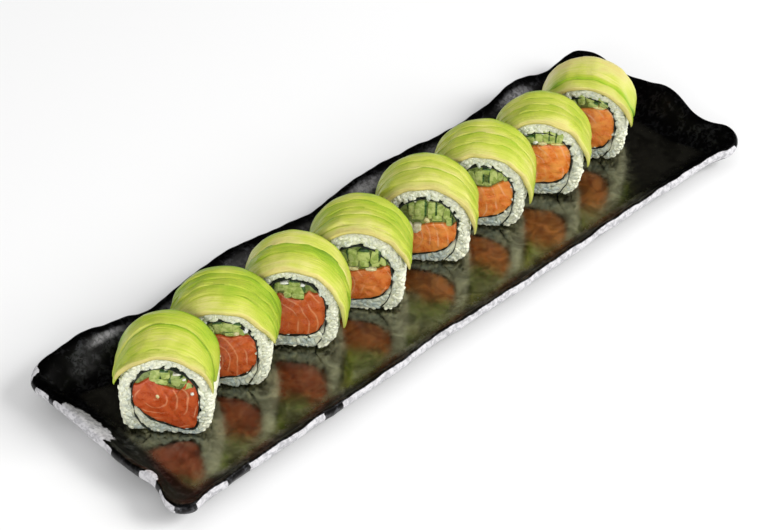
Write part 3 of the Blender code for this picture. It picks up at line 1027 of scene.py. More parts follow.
@dataclass
class Rice:
    """The rice ring of a roll: real grains over a smaller core."""

    roll: Roll
    inset: float = 0.8
    corner: float = 2.4
    grain: tuple[float, float, float] = (4.4, 2.2, 1.9)
    pitch: float = 1.72
    seam_clear: float = 0.35

    def section(self, along: Array, sunk: float) -> tuple[Array, Array, Array, Array]:
        """Section of the ring from the nori over the front cut, round the corner, along the side
        and back over the rear cut.

        Args:
            along: Distance from the start, in millimetres.
            sunk: How far the path runs under the surface.

        Returns:
            Share of the way out from the nori, depth, and the outward and backward parts of the
            normal.
        """
        roll, corner = self.roll, self.corner
        wall, side = roll.WALL - corner, roll.thick - 2.0 * corner
        bend = 0.5 * np.pi * corner
        stops = np.cumsum([wall, bend, side, bend])
        turn = np.clip((along - stops[0]) / bend, 0.0, 1.0) + np.clip((along - stops[2]) / bend, 0.0, 1.0)
        out, back = np.sin(turn * np.pi / 2), -np.cos(turn * np.pi / 2)
        reach = np.minimum(along, wall) - np.clip(along - stops[3], 0.0, wall)
        share = (reach + (corner - sunk) * out) / roll.WALL
        depth = corner + np.clip(along - stops[1], 0.0, side) + (corner - sunk) * back
        return share, depth, out, back

    def length(self) -> float:
        """Length of the section's path."""
        return 2.0 * (self.roll.WALL - self.corner) + np.pi * self.corner + self.roll.thick - 2.0 * self.corner

    def core(self) -> Shell:
        """The ring just under the grains, open where the sheet's end leaves, softly lumpy, with a fixed tone a little
        greyer than most grains as painted shade in the gaps between them.

        Returns:
            The shell in the roll's frame.
        """
        roll = self.roll
        start, end = (roll.foot_angle(roll.seam_foot + off) for off in (1.2, -1.2))
        angle = roll.walk(start, 360.0 + end, 150)[:, None]
        along = np.linspace(0.0, self.length(), 44)[None, :]
        share, depth, _, _ = self.section(along, self.inset)
        x0, z0 = roll.inner(angle, 0.9)
        x1, z1 = roll.outer(angle)
        x, z = x0 + (x1 - x0) * share, z0 + (z1 - z0) * share
        points = np.stack([x, depth + 0.0 * x, z], -1)
        lump = ripple(points, 3.4, 40 + roll.index)[..., None] + 0.5 * ripple(points, 1.7, 30 + roll.index)[..., None]
        points += 0.2 * lump * np.array([0.6, 1.0, 0.6])
        points[..., 2] = np.maximum(points[..., 2], 0.15)
        # painted shade: the core's tone is a little greyer than most grains, darkening the gaps
        return capped_tube(points, {"tone": np.full(points.shape[:2], 0.3)})

    def cage(self) -> Shell:
        """One grain of length 1 along x and width 1: an ellipsoid, blunter at one end."""
        rows, columns = 5, 8
        lengthwise = np.cos(np.linspace(0.35, np.pi - 0.35, rows))[:, None]
        turn = np.linspace(0.0, 2.0 * np.pi, columns, endpoint=False)[None, :]
        radius = 0.5 * (1.0 - np.abs(lengthwise) ** 2.6) ** 0.5 * (1.0 + 0.1 * lengthwise)
        x = 0.5 * lengthwise + 0.0 * turn
        points = np.stack([x, radius * np.cos(turn), radius * np.sin(turn)], -1)
        shell = capped_tube(points[::-1], {"tone": np.zeros((rows, columns))})
        shell.points[-2:, 0] = (-0.5, 0.5)
        return shell

    def seeds(self, rng: np.random.Generator) -> tuple[Array, Array, Array]:
        """Grain middles in rows along the section, evenly spaced round the ring and jittered.

        Rows on the cuts are thinned where the wall is narrow. Grains deep under the avocado or
        under the roll, and those on the seam, are left out.

        Args:
            rng: Random source.

        Returns:
            Middles, outward directions and a tone for each, which is painted shade: darker towards the filling and low
            down under it.
        """
        roll, pitch = self.roll, self.pitch
        angle = roll.walk(-180.0, 180.0, 721)
        inner, outer = np.stack(roll.inner(angle), -1), np.stack(roll.outer(angle), -1)
        wall = np.linalg.norm(outer - inner, axis=1)
        seam = Nori(roll).way_out()
        middles, outs, shade_tones = [], [], []
        for along in np.arange(0.9, self.length() - 0.5, 0.87 * pitch):
            share, depth, out, back = self.section(np.array(along), 0.95)
            ring = inner + (outer - inner) * share
            run = np.concatenate([[0.0], np.cumsum(np.linalg.norm(np.diff(ring, axis=0), axis=1))])
            at = np.arange(rng.uniform(0.0, pitch), run[-1], pitch)
            at = np.interp(at + rng.uniform(-0.4, 0.4, len(at)) * pitch, run, angle)
            px, pz = (np.interp(at, angle, ring[:, k]) for k in (0, 1))
            y = depth + rng.uniform(-0.4, 0.4, len(at)) * pitch * (out > 0.9)
            high = np.sin(np.radians(at))
            edge = np.minimum(y, roll.thick - y)
            hidden = (edge > 4.5) & ((high > 0.35) | (high < -0.93))
            seam_near = np.hypot(px[:, None] - seam[:, 0], pz[:, None] - seam[:, 1]).min(axis=1)
            thin = rng.uniform(size=len(at)) > np.interp(at, angle, wall) / wall.max() + out * 2.0
            keep = ~(hidden | thin | (seam_near < self.seam_clear + 0.5 * self.grain[1]))
            tangent = np.stack([np.interp(at, angle, np.gradient(outer[:, k])) for k in (0, 1)], -1)
            tangent /= np.linalg.norm(tangent, axis=1)[:, None] + 1e-9
            outward = np.stack([tangent[:, 1] * out, np.full(len(at), back), -tangent[:, 0] * out], -1)
            sunk = rng.uniform(-0.35, 0.35, len(at))[:, None]
            middles.append((np.stack([px, y, pz], -1) - outward * sunk)[keep])
            outs.append(outward[keep])
            # painted shade: on the cuts the tone darkens towards the filling, and more low down in the middle, under
            # the filling
            shade_inwards = np.clip(1.0 - share, 0.0, 1.0) * np.abs(back)
            under = smoothstep(9.0, 2.0, pz) * smoothstep(17.0, 11.0, np.abs(px)) * np.abs(back)
            shade_tones.append((0.05 + 0.35 * shade_inwards + 0.45 * under)[keep])
        return np.concatenate(middles), np.concatenate(outs), np.concatenate(shade_tones)

    def grains(self) -> Shell:
        """All grains, each the cage turned into the surface it lies in and cut flat at the cuts.

        A grain's long axis is a random direction near the surface; its points are its middle
        plus the cage's x, y and z along that axis, across it and out of the surface.

        Returns:
            The shell in the roll's frame.
        """
        roll = self.roll
        rng = np.random.default_rng(500 + roll.index)
        middle, out, tone = self.seeds(rng)
        count = len(middle)
        axis = rng.normal(size=(count, 3))
        axis -= out * (axis * out).sum(axis=1)[:, None]
        axis /= np.linalg.norm(axis, axis=1)[:, None]
        lean = 0.16 + 0.4 * np.abs(out[:, 1:2])
        axis += out * rng.uniform(-1.0, 1.0, (count, 1)) * lean
        axis /= np.linalg.norm(axis, axis=1)[:, None]
        side = np.cross(out, axis)
        side /= np.linalg.norm(side, axis=1)[:, None]
        top = np.cross(axis, side)
        size = np.array(self.grain) * rng.uniform(0.82, 1.12, (count, 3))
        cage = self.cage()
        turned = sum(
            cage.points[None, :, k, None] * (size[:, k, None] * direction)[:, None, :]
            for k, direction in enumerate((axis, side, top))
        )
        bend = (cage.points[:, 0] ** 2)[None, :, None] * 1.6 * side[:, None, :] * rng.uniform(-1, 1, (count, 1, 1))
        points = middle[:, None, :] + turned + bend
        proud = rng.uniform(-0.1, 0.3, (count, 1))
        points[..., 1] = np.clip(points[..., 1], -proud, roll.thick + proud)
        points[..., 2] = np.maximum(points[..., 2], rng.uniform(-0.1, 0.1, (count, 1)))
        starts = (np.arange(count) * len(cage.points))[:, None, None]
        return Shell(
            points.reshape(-1, 3),
            (cage.quads + starts).reshape(-1, 4),
            (cage.tris + starts).reshape(-1, 3),
            {"tone": np.repeat(tone + rng.uniform(0.0, 0.25, count), len(cage.points))},
        )

    def build(self, material: bpy.types.Material) -> None:
        """Makes the core and the grains."""
        for name, shell in (("rice_core", self.core()), ("rice_grains", self.grains())):
            self.roll.finish(name, self.roll.handed(shell), material, Slot.RICE)


@dataclass
class Nori:
    """The sheet round the filling, with its end running out through the rice to the foot."""

    roll: Roll
    sheet: float = 0.6
    start: float = 338.0
    tail: float = 0.6
    leave: float = -10.0
    foot_z: float = 1.4

    def way_out(self) -> Array:
        """The part of the path past the filling: a cubic curve down to the foot, as x and z."""
        x, z = (float(v) for v in self.roll.inner(np.array(self.leave)))
        controls = np.array([(x, z), (x + 0.3, 0.55 * z), (0.85 * x, 0.3 * z + 0.8), (self.roll.seam_foot, self.foot_z)])
        t = np.linspace(0.0, 1.0, 36)[:, None]
        weights = ((1 - t) ** 3, 3 * t * (1 - t) ** 2, 3 * t**2 * (1 - t), t**3)
        return sum(w * c for w, c in zip(weights, controls))

    def path(self) -> Array:
        """Middle line of the sheet: once round the filling, then out through the rice."""
        angle = np.linspace(self.start, self.leave, 150)
        x, z = self.roll.inner(angle)
        tucked = 0.9 * smoothstep(300.0, self.start, angle)
        line = np.stack([x - tucked, z], -1)
        line = np.concatenate([line, self.way_out()[1:]])
        away = ripple(line, 7.0, 70 + self.roll.index)[:, None] * 0.16
        return line + away * np.array([1.0, 0.6])

    def build(self, material: bpy.types.Material) -> None:
        """Makes the sheet as a tube of flat section carried along the path.

        Args:
            material: Its finish.
        """
        line = self.path()
        ahead = np.gradient(line, axis=0)
        ahead /= np.linalg.norm(ahead, axis=1)[:, None]
        normal = np.stack([ahead[:, 1], -ahead[:, 0]], -1)
        turn = np.linspace(0.0, 2.0 * np.pi, 24, endpoint=False)
        thick = self.sheet * (1.0 + 0.25 * ripple(line, 9.0, 50 + self.roll.index))[:, None]
        thick[150:] *= self.tail
        off = 0.5 * np.sign(np.sin(turn)) * np.abs(np.sin(turn)) ** 0.4
        deep = 0.5 + 0.5 * np.sign(np.cos(turn)) * np.abs(np.cos(turn)) ** 0.35
        flat = line[:, None, :] + normal[:, None, :] * (thick * off)[..., None]
        edge = 0.2 * ripple(line, 5.0, 90 + self.roll.index)[:, None]
        y = -0.25 + edge * (1.0 - 2.0 * deep) + (self.roll.thick + 0.5) * deep
        points = np.stack([flat[..., 0], y + 0.0 * flat[..., 0], np.maximum(flat[..., 1], 0.1)], -1)
        shell = capped_tube(points, {"tone": np.zeros(points.shape[:2])})
        self.roll.finish("nori_sheet", self.roll.handed(shell).flipped(), material, Slot.NORI)


@dataclass
class Salmon:
    """The salmon in the lower part of the filling."""

    roll: Roll
    clear: float = 0.35
    dome: float = 0.5

    def outline(self) -> Array:
        """The nori's inner outline up to both top corners, closed by the top's own line.

        Returns:
            Points as x and z, clockwise seen from the front.
        """
        right, left, top = self.roll.fish
        angle = np.linspace(-180.0 - left, right, 80)
        x, z = self.roll.inner(angle, -self.clear)
        corners = np.array([(x[-1], z[-1]), *top, (x[0], z[0])])
        run = np.concatenate([[0.0], np.cumsum(np.linalg.norm(np.diff(corners, axis=0), axis=1))])
        at = np.linspace(0.0, run[-1], 40)
        spread = np.array([-0.8, -0.4, 0.0, 0.4, 0.8])
        line = [np.interp(at[:, None] + spread, run, corners[:, k]).mean(axis=1)[1:-1] for k in (0, 1)]
        return np.stack([np.concatenate([x, line[0]]), np.concatenate([z, line[1]])], -1)

    def build(self, material: bpy.types.Material) -> None:
        """Makes the piece and stores its muscle bands: distance from the arcs' middle over 3 mm.

        Args:
            material: Its finish.
        """
        roll = self.roll
        rings = loaf(self.outline(), 0.35, roll.thick - 0.35, self.dome, caps=10)
        rings += 0.12 * ripple(rings, 3.6, 60 + roll.index)[..., None] * np.array([0.3, 1.0, 0.3])
        cx, cz = roll.arcs
        reach = np.hypot(rings[..., 0] - cx, 1.15 * (rings[..., 2] - cz))
        bands = (reach + 0.6 * ripple(rings, 16.0, 80 + roll.index)) / 4.0
        shell = capped_tube(rings, {"muscle": bands, "tone": np.full(bands.shape, roll.tone)})
        roll.finish("salmon_cut", roll.handed(shell).flipped(), material, Slot.SALMON)


@dataclass
class Cucumber:
    """Sticks of cucumber and soft bits packed over the salmon, with a heart behind them whose darker green is painted
    shade in the gaps between the sticks.
    """

    roll: Roll
    clear: float = 0.35
    setback: float = 1.6

    def heart(self) -> Shell:
        """Fills the space between salmon and nori, set back from both cuts, half way to the dark skin green as painted
        shade in the gaps.
        """
        right, left, top = self.roll.fish
        angle = np.linspace(right, 180.0 + left, 60)
        x, z = self.roll.inner(angle, -self.clear)
        low = np.array(top)[::-1]
        loop = np.concatenate([np.stack([x, z], -1), low - [0.0, 0.4]])
        rings = loaf(loop, self.setback, self.roll.thick - self.setback, 0.3, rows=4, caps=6)
        # painted shade: the heart is set half way to the skin green so the gaps between sticks read dark
        return capped_tube(rings, {"skin": np.full(rings.shape[:2], 0.55)})

    def stick_shell(self, stick: Stick, rng: np.random.Generator) -> Shell:
        """One stick: a rounded four-sided section, dark on the side that keeps its skin."""
        turn = np.linspace(0.0, 2.0 * np.pi, 32, endpoint=False)
        square = 1.0 / (np.abs(np.cos(turn)) ** 4 + np.abs(np.sin(turn)) ** 4) ** 0.25
        wobble = 1.0 + 0.08 * np.sin(2.0 * turn + rng.uniform(0.0, 6.0)) + 0.05 * np.sin(3.0 * turn + rng.uniform(0.0, 6.0))
        flat = np.stack([stick.wide * np.cos(turn), stick.tall * np.sin(turn)], -1) * (0.55 * square * wobble)[:, None]
        c, s = np.cos(np.radians(stick.tilt)), np.sin(np.radians(stick.tilt))
        flat = flat @ np.array([[c, s], [-s, c]])
        ends = rng.uniform(-0.2, 0.6, 2)
        rings = loaf(flat[::-1] + [stick.x, stick.z], ends[0], self.roll.thick - ends[1], 0.25, rows=5, caps=6)
        dark = np.full(rings.shape[:2], rng.uniform(0.22, 0.48))
        if stick.skin is not None:
            side = np.array([np.cos(np.radians(stick.skin)), np.sin(np.radians(stick.skin))])
            reach = (rings[..., [0, 2]] - [stick.x, stick.z]) @ side
            dark = np.maximum(dark, smoothstep(0.3, 0.9, reach / np.abs(flat @ side).max()))
        return capped_tube(rings, {"skin": dark})

    def bit_shell(self, bit: Bit, rng: np.random.Generator) -> Shell:
        """One soft bit: a lumpy rounded loaf that reaches a little way in from the front cut."""
        turn = np.linspace(0.0, 2.0 * np.pi, 28, endpoint=False)
        radius = 0.5 * (1.0 + 0.14 * np.sin(2.0 * turn + rng.uniform(0, 6)) + 0.08 * np.sin(5.0 * turn + rng.uniform(0, 6)))
        flat = np.stack([bit.wide * radius * np.cos(turn), bit.tall * radius * np.sin(turn)], -1) + [bit.x, bit.z]
        rings = loaf(flat[::-1], -0.15, 3.2, 0.5, rows=3, caps=6)
        return capped_tube(rings, {"white": np.full(rings.shape[:2], bit.white)})

    def build(self, cucumber: bpy.types.Material, cream: bpy.types.Material) -> None:
        """Makes the sticks as one piece and the soft bits as another.

        Args:
            cucumber: Finish of the sticks.
            cream: Finish of the soft bits.
        """
        roll = self.roll
        rng = np.random.default_rng(900 + roll.index)
        sticks = Shell.join([self.stick_shell(stick, rng) for stick in roll.sticks])
        bits = Shell.join([self.bit_shell(bit, rng) for bit in roll.bits])
        for name, shell, finish in (
            ("cucumber_sticks", sticks, cucumber),
            ("filling_heart", self.heart().flipped(), cucumber),
            ("soft_bits", bits, cream),
        ):
            roll.finish(name, roll.handed(shell), finish, Slot.CUCUMBER)


@dataclass
class Avocado:
    """The fan of slices over a roll."""

    roll: Roll
    clear: float = 0.4
    edge: float = 1.3
    full: float = 3.1
    back: float = 1.5
    flare: float = 1.5
    stations: int = 100
    section: int = 24

    def body(self, y: Array, u: Array) -> Array:
        """Height of the fan over the rice: thin at the front edge, full inside, lower behind,
        and piled up towards the middle in some rolls.

        Args:
            y: Depth.
            u: Place from the left tip, -1, to the right tip, 1.

        Returns:
            Height in millimetres.
        """
        front = self.edge + 0.9 * smoothstep(0.2, 0.8, u)
        rise = smoothstep(-2.5, 5.0, y)
        fall = smoothstep(self.roll.thick - 4.5, self.roll.thick + 1.0, y)
        height = front + (self.full - front) * rise - (self.full - self.back) * fall
        piled = self.roll.pile * smoothstep(0.0, 12.0, y) * (1.0 - u**2)
        return height * (1.0 - 0.45 * np.abs(u) ** 6) + piled

    def slice_shell(self, cut: Slice, order: int, seed: int) -> Shell:
        """One slice: a thin plate bent over the rice, narrowing to a tip at both ends.

        A ring of its section runs over the top from the front edge to the rear edge and back
        underneath: height = body + step * (1 - v), rounded off at both edges. Its right end
        stands off the rice a little.

        Args:
            cut: Its place and size.
            order: Its number from the front.
            seed: Seed of its unevenness.

        Returns:
            The shell in the roll's frame.
        """
        u = np.linspace(-1.0, 1.0, self.stations)[:, None]
        half = self.stations // 2
        to_left = self.roll.walk(180.0 + cut.left, 90.0, half)
        to_right = self.roll.walk(90.0, -cut.right, half + 1)
        angle = np.concatenate([to_left, to_right[1:]])[:, None]
        close = np.maximum(1.0 - np.abs(u) ** 7, 0.0) ** 0.6
        t = 0.5 - 0.5 * np.cos(np.linspace(0.0, np.pi, self.section))
        v = np.concatenate([t, t[-2:0:-1]])[None, :]
        upper = np.concatenate([np.ones(self.section), np.zeros(self.section - 2)])[None, :]
        sway = 0.3 * ripple(np.concatenate([angle * 0.33, 0.0 * u], -1), 12.0, seed + 1)[:, None]
        front = np.maximum(cut.front - cut.bow * u**2, 0.35 * order - 0.5) + sway
        rear = np.maximum(cut.rear - cut.back_bow * u**2, front + 0.8)
        y = (front + rear) / 2 + (rear - front) * close * (v - 0.5)
        rounded = np.maximum(1.0 - np.abs(2.0 * v - 1.0) ** 20, 0.0) ** 0.5
        spot = np.stack(np.broadcast_arrays(angle * 0.33, y), -1)
        uneven = 0.1 * ripple(spot, 9.0, seed) + 0.05 * ripple(spot * [0.15, 1.0], 1.3, seed + 2)
        proud = cut.step * np.clip(0.55 + 0.45 * ripple(angle * 0.33, 14.0, seed + 3)[:, None], 0.05, 1.0)
        height = self.body(y, u) + (proud * (1.0 - v) + uneven) * close
        away = self.clear + self.flare * smoothstep(0.6, 1.0, u)
        x, z = self.roll.outer(angle, away + height * (0.1 + 0.9 * close) * rounded * upper)
        rings = np.stack(np.broadcast_arrays(x, y, z), -1)
        across = 1.0 - v if cut.turned else v
        across = across if order == 0 else 0.15 + 0.85 * across
        return capped_tube(
            rings[:, ::-1],
            {
                "across": np.broadcast_to(across, rings.shape[:2])[:, ::-1],
                "along": np.broadcast_to(u, rings.shape[:2]),
                "tone": np.full(rings.shape[:2], cut.green + 0.12),
            },
        )

    def build(self, material: bpy.types.Material) -> None:
        """Makes each slice of the fan, joined in one mesh.

        Args:
            material: Its finish.
        """
        shells = [
            self.slice_shell(cut, order, 1000 + 40 * self.roll.index + 4 * order)
            for order, cut in enumerate(self.roll.slices)
        ]
        shell = self.roll.handed(Shell.join(shells))
        self.roll.finish("avocado_fan", shell, material, Slot.AVOCADO)


ROLLS = (
    Roll(
        1, -46.9, 26.0, 0.98, 41.6, 5.4, 4.8, Seam.LEFT, 9.5,
        slices=(
            Slice(-0.5, 3.2, -8, -22, 0, 2.0, 0.0, -0.05),
            Slice(1.6, 17.4, -13, -15, 2, 16, 0.35, 0.08),
            Slice(16.2, 26.8, -8, -6, 17, 8, 0.6, 0.12),
        ),
        fish=(22, 40, ((11, 26.5), (5.5, 31), (3, 28), (-2, 25.5), (-8, 24), (-11, 22))),
        sticks=(
            Stick(3.0, 32.6, 4.6, 5.6, 15, 200), Stick(-0.6, 33.6, 3.2, 4.2, -10, 90),
            Stick(1.0, 29.4, 4.6, 2.6, 20, -80), Stick(-4.6, 30.4, 4.4, 5.0, 25, 0),
            Stick(-9.6, 26.6, 3.6, 4.6, 20, 180), Stick(-7.4, 30.6, 3.0, 3.4, 0, 60),
        ),
        bits=(Bit(-5.4, 34.0, 3.2, 1.2, 0.7), Bit(-8.2, 31.4, 1.6, 1.2, 0.8), Bit(-11.0, 23.6, 1.6, 1.5, 0.8),
              Bit(3.0, 21.4, 1.4, 2.3, 0.2)),
        tone=0.0, arcs=(3.5, 20.0), square=(5.5, 9.0), draw_in=(0.14, 0.0), seam_foot=7.5, pile=0.8,
    ),
    Roll(
        2, -46.4, 23.4, 1.00, 41.2, 5.5, 4.3, Seam.RIGHT, 3.0,
        slices=(
            Slice(-0.5, 7.4, 0, -10, 0, 3, 0.0, -0.05),
            Slice(6.4, 11.0, 2, -8, 4, 4, 1.0, 0.16),
            Slice(10.0, 14.6, 1, -6, 4, 4, 0.9, 0.18),
            Slice(13.6, 18.4, 1, -6, 5, 5, 0.8, 0.28),
            Slice(17.4, 24.2, 1, -6, 6, 6, 0.7, 0.26),
        ),
        fish=(28, 30, ((10, 29.0), (6, 28.5), (3, 27.3), (-1, 29), (-6, 28))),
        sticks=(
            Stick(2.6, 33.2, 4.2, 5.4, 5, -90), Stick(6.0, 33.6, 3.0, 4.6, -10, 80), Stick(-1.6, 33.4, 4.0, 5.0, 10, 100),
            Stick(3.6, 29.8, 4.4, 2.0, 5, -90), Stick(-6.0, 31.5, 4.2, 4.4, 20, 180), Stick(8.2, 31.2, 2.2, 3.4, -20, 0),
        ),
        bits=(Bit(5.8, 30.6, 2.4, 2.0, 0.2), Bit(9.6, 32.4, 2.0, 2.6, 1.0)),
        tone=0.1, pile=3.0,
    ),
    Roll(
        3, -48.4, 24.4, 1.00, 43.1, 7.6, 4.2, Seam.RIGHT, 1.5,
        slices=(
            Slice(-0.5, 10.0, 1, 7, 0, 3, 0.0, -0.02),
            Slice(8.6, 15.4, 2, 5, 1, 3, 0.9, 0.3),
            Slice(14.0, 24.9, 2, 4, 5, 6, 0.4, -0.05),
        ),
        fish=(32, 30, ((9, 31), (7, 32.6), (5, 29.8), (2.5, 27.2), (-1.5, 28.2), (-5, 30.6), (-9, 29))),
        sticks=(
            Stick(-5.4, 34.2, 4.6, 4.0, 15, 170), Stick(-1.2, 34.0, 3.6, 5.2, -10, 100), Stick(2.6, 33.2, 4.6, 4.8, 10, 20),
            Stick(1.4, 36.8, 4.2, 2.6, 0, 90), Stick(2.6, 29.8, 4.8, 2.6, -5, -90), Stick(-7.6, 31.6, 3.0, 3.0, 0, 180),
            Stick(-1.8, 30.4, 2.8, 2.6, 0, -60),
        ),
        bits=(Bit(4.6, 36.4, 1.8, 1.8, 0.9), Bit(-3.0, 37.0, 3.2, 1.4, 0.9)),
        tone=0.15,
    ),
    Roll(
        4, -47.9, 24.0, 1.02, 43.4, 6.0, 7.6, Seam.RIGHT, 3.5,
        slices=(
            Slice(-0.5, 2.5, 1, -6, 0, 0, 0.0, -0.12),
            Slice(2.1, 9.4, 2, -7, 1.2, 3, 1.2, 0.06),
            Slice(8.4, 13.4, 2, -8, 4, 4, 0.4, 0.06),
            Slice(12.4, 18.4, 2, -9, 5, 5, 0.45, 0.16),
            Slice(17.4, 24.6, 2, -10, 6, 6, 0.4, 0.1),
        ),
        fish=(14, 10, ((12, 25.5), (8, 23), (3, 22.5), (-3, 21.5), (-8, 22))),
        sticks=(
            Stick(2.4, 31.0, 4.4, 6.4, 4, 90), Stick(7.2, 30.6, 3.4, 6.6, -6, 0), Stick(-2.4, 30.4, 4.6, 6.2, 8, 180),
            Stick(-6.8, 29.0, 4.0, 5.0, 15, 180), Stick(2.6, 26.2, 3.4, 3.4, 0, -90), Stick(7.0, 26.4, 3.6, 2.6, 0, 180),
            Stick(10.6, 28.2, 3.0, 4.0, -15, 0), Stick(-2.2, 26.0, 4.0, 3.0, 5, -90),
        ),
        bits=(Bit(5.2, 23.7, 4.4, 1.6, 0.25), Bit(-3.0, 23.6, 5.4, 1.8, 0.1)),
        tone=0.5, square=(5.0, 7.0), draw_in=(0.1, 0.08),
    ),
    Roll(
        5, -47.9, 23.2, 1.02, 41.0, 5.0, 5.2, Seam.RIGHT, 5.0,
        slices=(
            Slice(-0.5, 3.0, 1, 0.2, 0, 0, 0.0, -0.16),
            Slice(2.6, 11.8, 2, -1, 1.4, 3, 1.3, 0.02),
            Slice(10.6, 16.8, 2, -1, 4, 4, 0.4, 0.0),
            Slice(15.8, 23.8, 2, -3, 5, 6, 0.4, 0.1),
        ),
        fish=(10, -12, ((12, 21.5), (8, 22.2), (2, 21.8), (-1.5, 20.5), (-3, 16.8), (-8, 16.5))),
        sticks=(
            Stick(-1.8, 29.8, 4.8, 8.0, 2, 0), Stick(3.2, 29.6, 3.4, 8.4, 0, 0), Stick(6.6, 29.6, 3.2, 6.6, -5, 180),
            Stick(9.8, 28.2, 3.0, 5.6, -12, 0), Stick(-5.6, 29.4, 3.4, 6.4, 8, 180), Stick(5.4, 25.2, 4.0, 2.6, 0, -90),
            Stick(10.8, 24.0, 2.8, 4.0, 0, 0), Stick(-3.2, 25.0, 4.4, 2.4, 0, -90),
        ),
        bits=(Bit(-3.4, 19.4, 4.6, 4.6, 0.4), Bit(-7.4, 20.2, 4.0, 4.6, 0.3), Bit(1.0, 24.0, 2.6, 2.4, 0.1)),
        tone=0.8, square=(5.0, 6.5), draw_in=(0.1, 0.0),
    ),
    Roll(
        6, -49.4, 23.0, 1.00, 39.6, 5.5, 5.0, Seam.RIGHT, 5.0,
        slices=(
            Slice(-0.5, 6.4, 1, 2, 0, 2, 0.0, 0.0),
            Slice(5.4, 11.8, 2, 0.8, 3, 3, 0.5, 0.06),
            Slice(10.8, 16.6, 2, 0.6, 4, 4, 0.4, 0.0),
            Slice(15.6, 23.6, 2, 0.2, 5, 6, 0.4, 0.08),
        ),
        fish=(24, 6, ((11, 27.8), (8, 25.8), (3, 22.2), (-4, 22.4), (-8, 22))),
        sticks=(
            Stick(-1.4, 28.2, 3.8, 6.6, 6, 0), Stick(4.4, 29.2, 3.2, 7.0, -4, 180), Stick(7.8, 29.6, 2.8, 5.0, -14, 0),
            Stick(-5.0, 28.0, 3.4, 6.0, 10, 180), Stick(1.6, 31.8, 4.0, 2.8, 0, 90), Stick(0.6, 24.6, 5.4, 2.0, 0, -90),
            Stick(10.2, 28.8, 2.0, 2.6, 0, 0),
        ),
        bits=(Bit(-4.6, 24.6, 3.0, 2.2, 0.2),),
        tone=0.85, pile=2.0,
    ),
    Roll(
        7, -49.4, 22.4, 1.00, 41.2, 7.6, 4.8, Seam.RIGHT, 2.0,
        slices=(
            Slice(-0.5, 6.4, 1, 0.4, 0, 2, 0.0, 0.0),
            Slice(5.4, 11.0, 2, 0.2, 3, 3, 0.5, 0.08),
            Slice(10.0, 16.0, 2, -1, 4, 4, 0.4, 0.02),
            Slice(15.0, 23.0, 2, -2, 5, 6, 0.4, 0.1),
        ),
        fish=(26, 20, ((12, 29), (8, 29.6), (3, 29.2), (-2, 28.4), (-8, 27))),
        sticks=(
            Stick(2.0, 34.2, 3.0, 5.0, 5, 0), Stick(5.0, 34.4, 2.8, 5.6, -5, 0), Stick(8.0, 33.6, 2.8, 4.6, -12, 180),
            Stick(-1.4, 33.6, 3.2, 4.6, 8, 180), Stick(-5.0, 32.4, 3.2, 4.0, 14, 90), Stick(4.0, 31.4, 5.0, 1.8, 0, 90),
        ),
        bits=(Bit(7.0, 30.6, 5.0, 1.4, 0.0), Bit(0.6, 30.4, 4.4, 1.6, 0.2), Bit(-2.6, 31.0, 2.4, 2.0, 0.9)),
        tone=1.0,
    ),
    Roll(
        8, -54.4, 24.0, 1.00, 39.4, 6.0, 4.2, Seam.RIGHT, 2.5,
        slices=(
            Slice(-0.5, 4.4, 1, -4, 0, 2, 0.0, -0.05),
            Slice(3.2, 24.6, 2, -6, 3, 6, 0.5, -0.12, True),
        ),
        fish=(30, 24, ((11, 29.4), (8, 29.6), (3, 29.2), (-2, 28.4), (-8, 27))),
        sticks=(
            Stick(1.6, 34.6, 3.2, 4.6, 5, 90), Stick(6.2, 35.4, 3.2, 3.6, 0, 90), Stick(3.2, 31.6, 4.4, 2.4, 0, 60),
            Stick(8.2, 32.2, 3.4, 2.8, -10, 60), Stick(-2.4, 33.4, 3.6, 4.4, 8, 180), Stick(-6.4, 31.4, 3.4, 3.6, 14, 180),
        ),
        bits=(Bit(6.0, 30.4, 6.0, 1.4, 0.0),),
        tone=1.0,
    ),
)


# ---- studio -----------------------------------------------------------------------------------


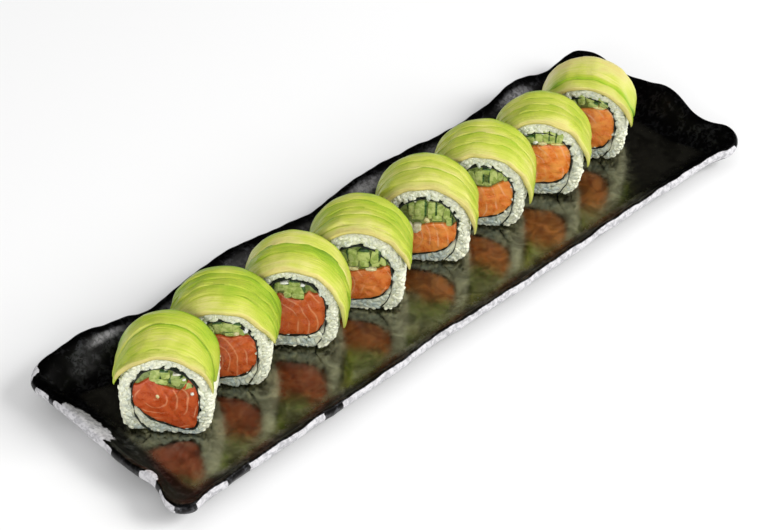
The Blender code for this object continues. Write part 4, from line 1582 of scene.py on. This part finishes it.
@dataclass
class Studio:
    """Pale floor, soft lights and the camera. Metres and degrees."""

    azimuth: float = -43.4
    elevation: float = 41.7
    distance: float = 0.95
    lens: float = 101.63
    target: tuple[float, float, float] = (-0.0056, 0.0116, 0.0)
    floor_half: float = 6.0

    def axes(self) -> tuple[Vector, Vector, Vector]:
        """The camera's right, up and back directions."""
        a, e = np.radians(self.azimuth), np.radians(self.elevation)
        back = Vector((np.sin(a) * np.cos(e), -np.cos(a) * np.cos(e), np.sin(e)))
        right = Vector((0.0, 0.0, 1.0)).cross(back).normalized()
        return right, back.cross(right), back

    def camera(self) -> None:
        """Makes the camera and gives it to the scene."""
        right, up, back = self.axes()
        lens = bpy.data.cameras.new("camera")
        lens.lens = self.lens
        lens.sensor_width = 36.0
        lens.clip_start = 0.01
        piece = bpy.data.objects.new("camera", lens)
        basis = Matrix((right, up, back)).transposed().to_4x4()
        piece.matrix_world = Matrix.Translation(Vector(self.target) + back * self.distance) @ basis
        bpy.context.scene.collection.objects.link(piece)
        bpy.context.scene.camera = piece

    def light(
        self, name: str, where: tuple[float, float, float], size: tuple[float, float], power: float, mirrored: bool
    ) -> None:
        """Adds a rectangular lamp that faces the platter.

        Args:
            name: Name of the lamp.
            where: Its place along the camera's right, the floor's up, and towards the camera.
            size: Its width and height.
            power: Watts.
            mirrored: Whether glossy surfaces show it.
        """
        right, _, back = self.axes()
        ahead = Vector((back.x, back.y, 0.0)).normalized()
        lamp = bpy.data.lights.new(name, "AREA")
        lamp.shape = "RECTANGLE"
        lamp.size, lamp.size_y = size
        lamp.energy = power
        piece = bpy.data.objects.new(name, lamp)
        piece.location = right * where[0] + Vector((0.0, 0.0, where[1])) + ahead * where[2]
        piece.rotation_euler = (-piece.location).to_track_quat("-Z", "Y").to_euler()
        piece.visible_glossy = mirrored
        bpy.context.scene.collection.objects.link(piece)

    def floor(self) -> None:
        """Adds the pale floor just under the dish's foot."""
        size = self.floor_half
        corners = np.array([[-size, -size, -0.0002], [size, -size, -0.0002], [size, size, -0.0002], [-size, size, -0.0002]])
        mesh = bpy.data.meshes.new("pale_floor")
        mesh.from_pydata(corners.tolist(), [], [(0, 1, 2, 3)])
        finish = bpy.data.materials.new("pale_floor")
        finish.use_nodes = True
        shader = finish.node_tree.nodes["Principled BSDF"]
        shader.inputs["Base Color"].default_value = (0.86, 0.86, 0.86, 1.0)
        shader.inputs["Roughness"].default_value = 0.8
        mesh.materials.append(finish)
        piece = bpy.data.objects.new("pale_floor", mesh)
        bpy.context.scene.collection.objects.link(piece)

    def world(self) -> None:
        """Dark surroundings for reflections, dim for soft shade, and pale to the camera."""
        made = bpy.data.worlds.new("studio")
        made.use_nodes = True
        graph = Graph(made.node_tree)
        background = made.node_tree.nodes["Background"]
        path = graph.node("ShaderNodeLightPath").outputs
        glow = graph.blend(path["Is Diffuse Ray"], (0.022, 0.021, 0.021), (0.625, 0.625, 0.625))
        graph.feed(background.inputs["Color"], graph.blend(path["Is Camera Ray"], glow, (0.9, 0.9, 0.9)))
        bpy.context.scene.world = made

    def build(self) -> None:
        """Sets up everything round the platter."""
        self.camera()
        self.floor()
        self.world()
        self.light("key", (1.45, 1.1, 0.35), (1.0, 1.0), 27.0, False)
        self.light("fill", (-0.5, 0.8, 1.7), (1.2, 0.8), 13.0, True)
        self.light("sheen", (1.5, 1.2, 0.2), (0.8, 0.8), 5.0, True)
        bpy.context.scene.view_settings.view_transform = "Standard"


def main() -> None:
    """Builds the studio, the dish and every roll in order."""
    logging.basicConfig(level=logging.INFO, format="%(name)s %(message)s")
    Studio().build()
    finishes = Finishes()
    Dish().build(finishes.glaze)
    for roll in ROLLS:
        Rice(roll).build(finishes.rice)
        Nori(roll).build(finishes.nori)
        Salmon(roll).build(finishes.salmon)
        Cucumber(roll).build(finishes.cucumber, finishes.cream)
        Avocado(roll).build(finishes.avocado)


if __name__ == "__main__":
    main()
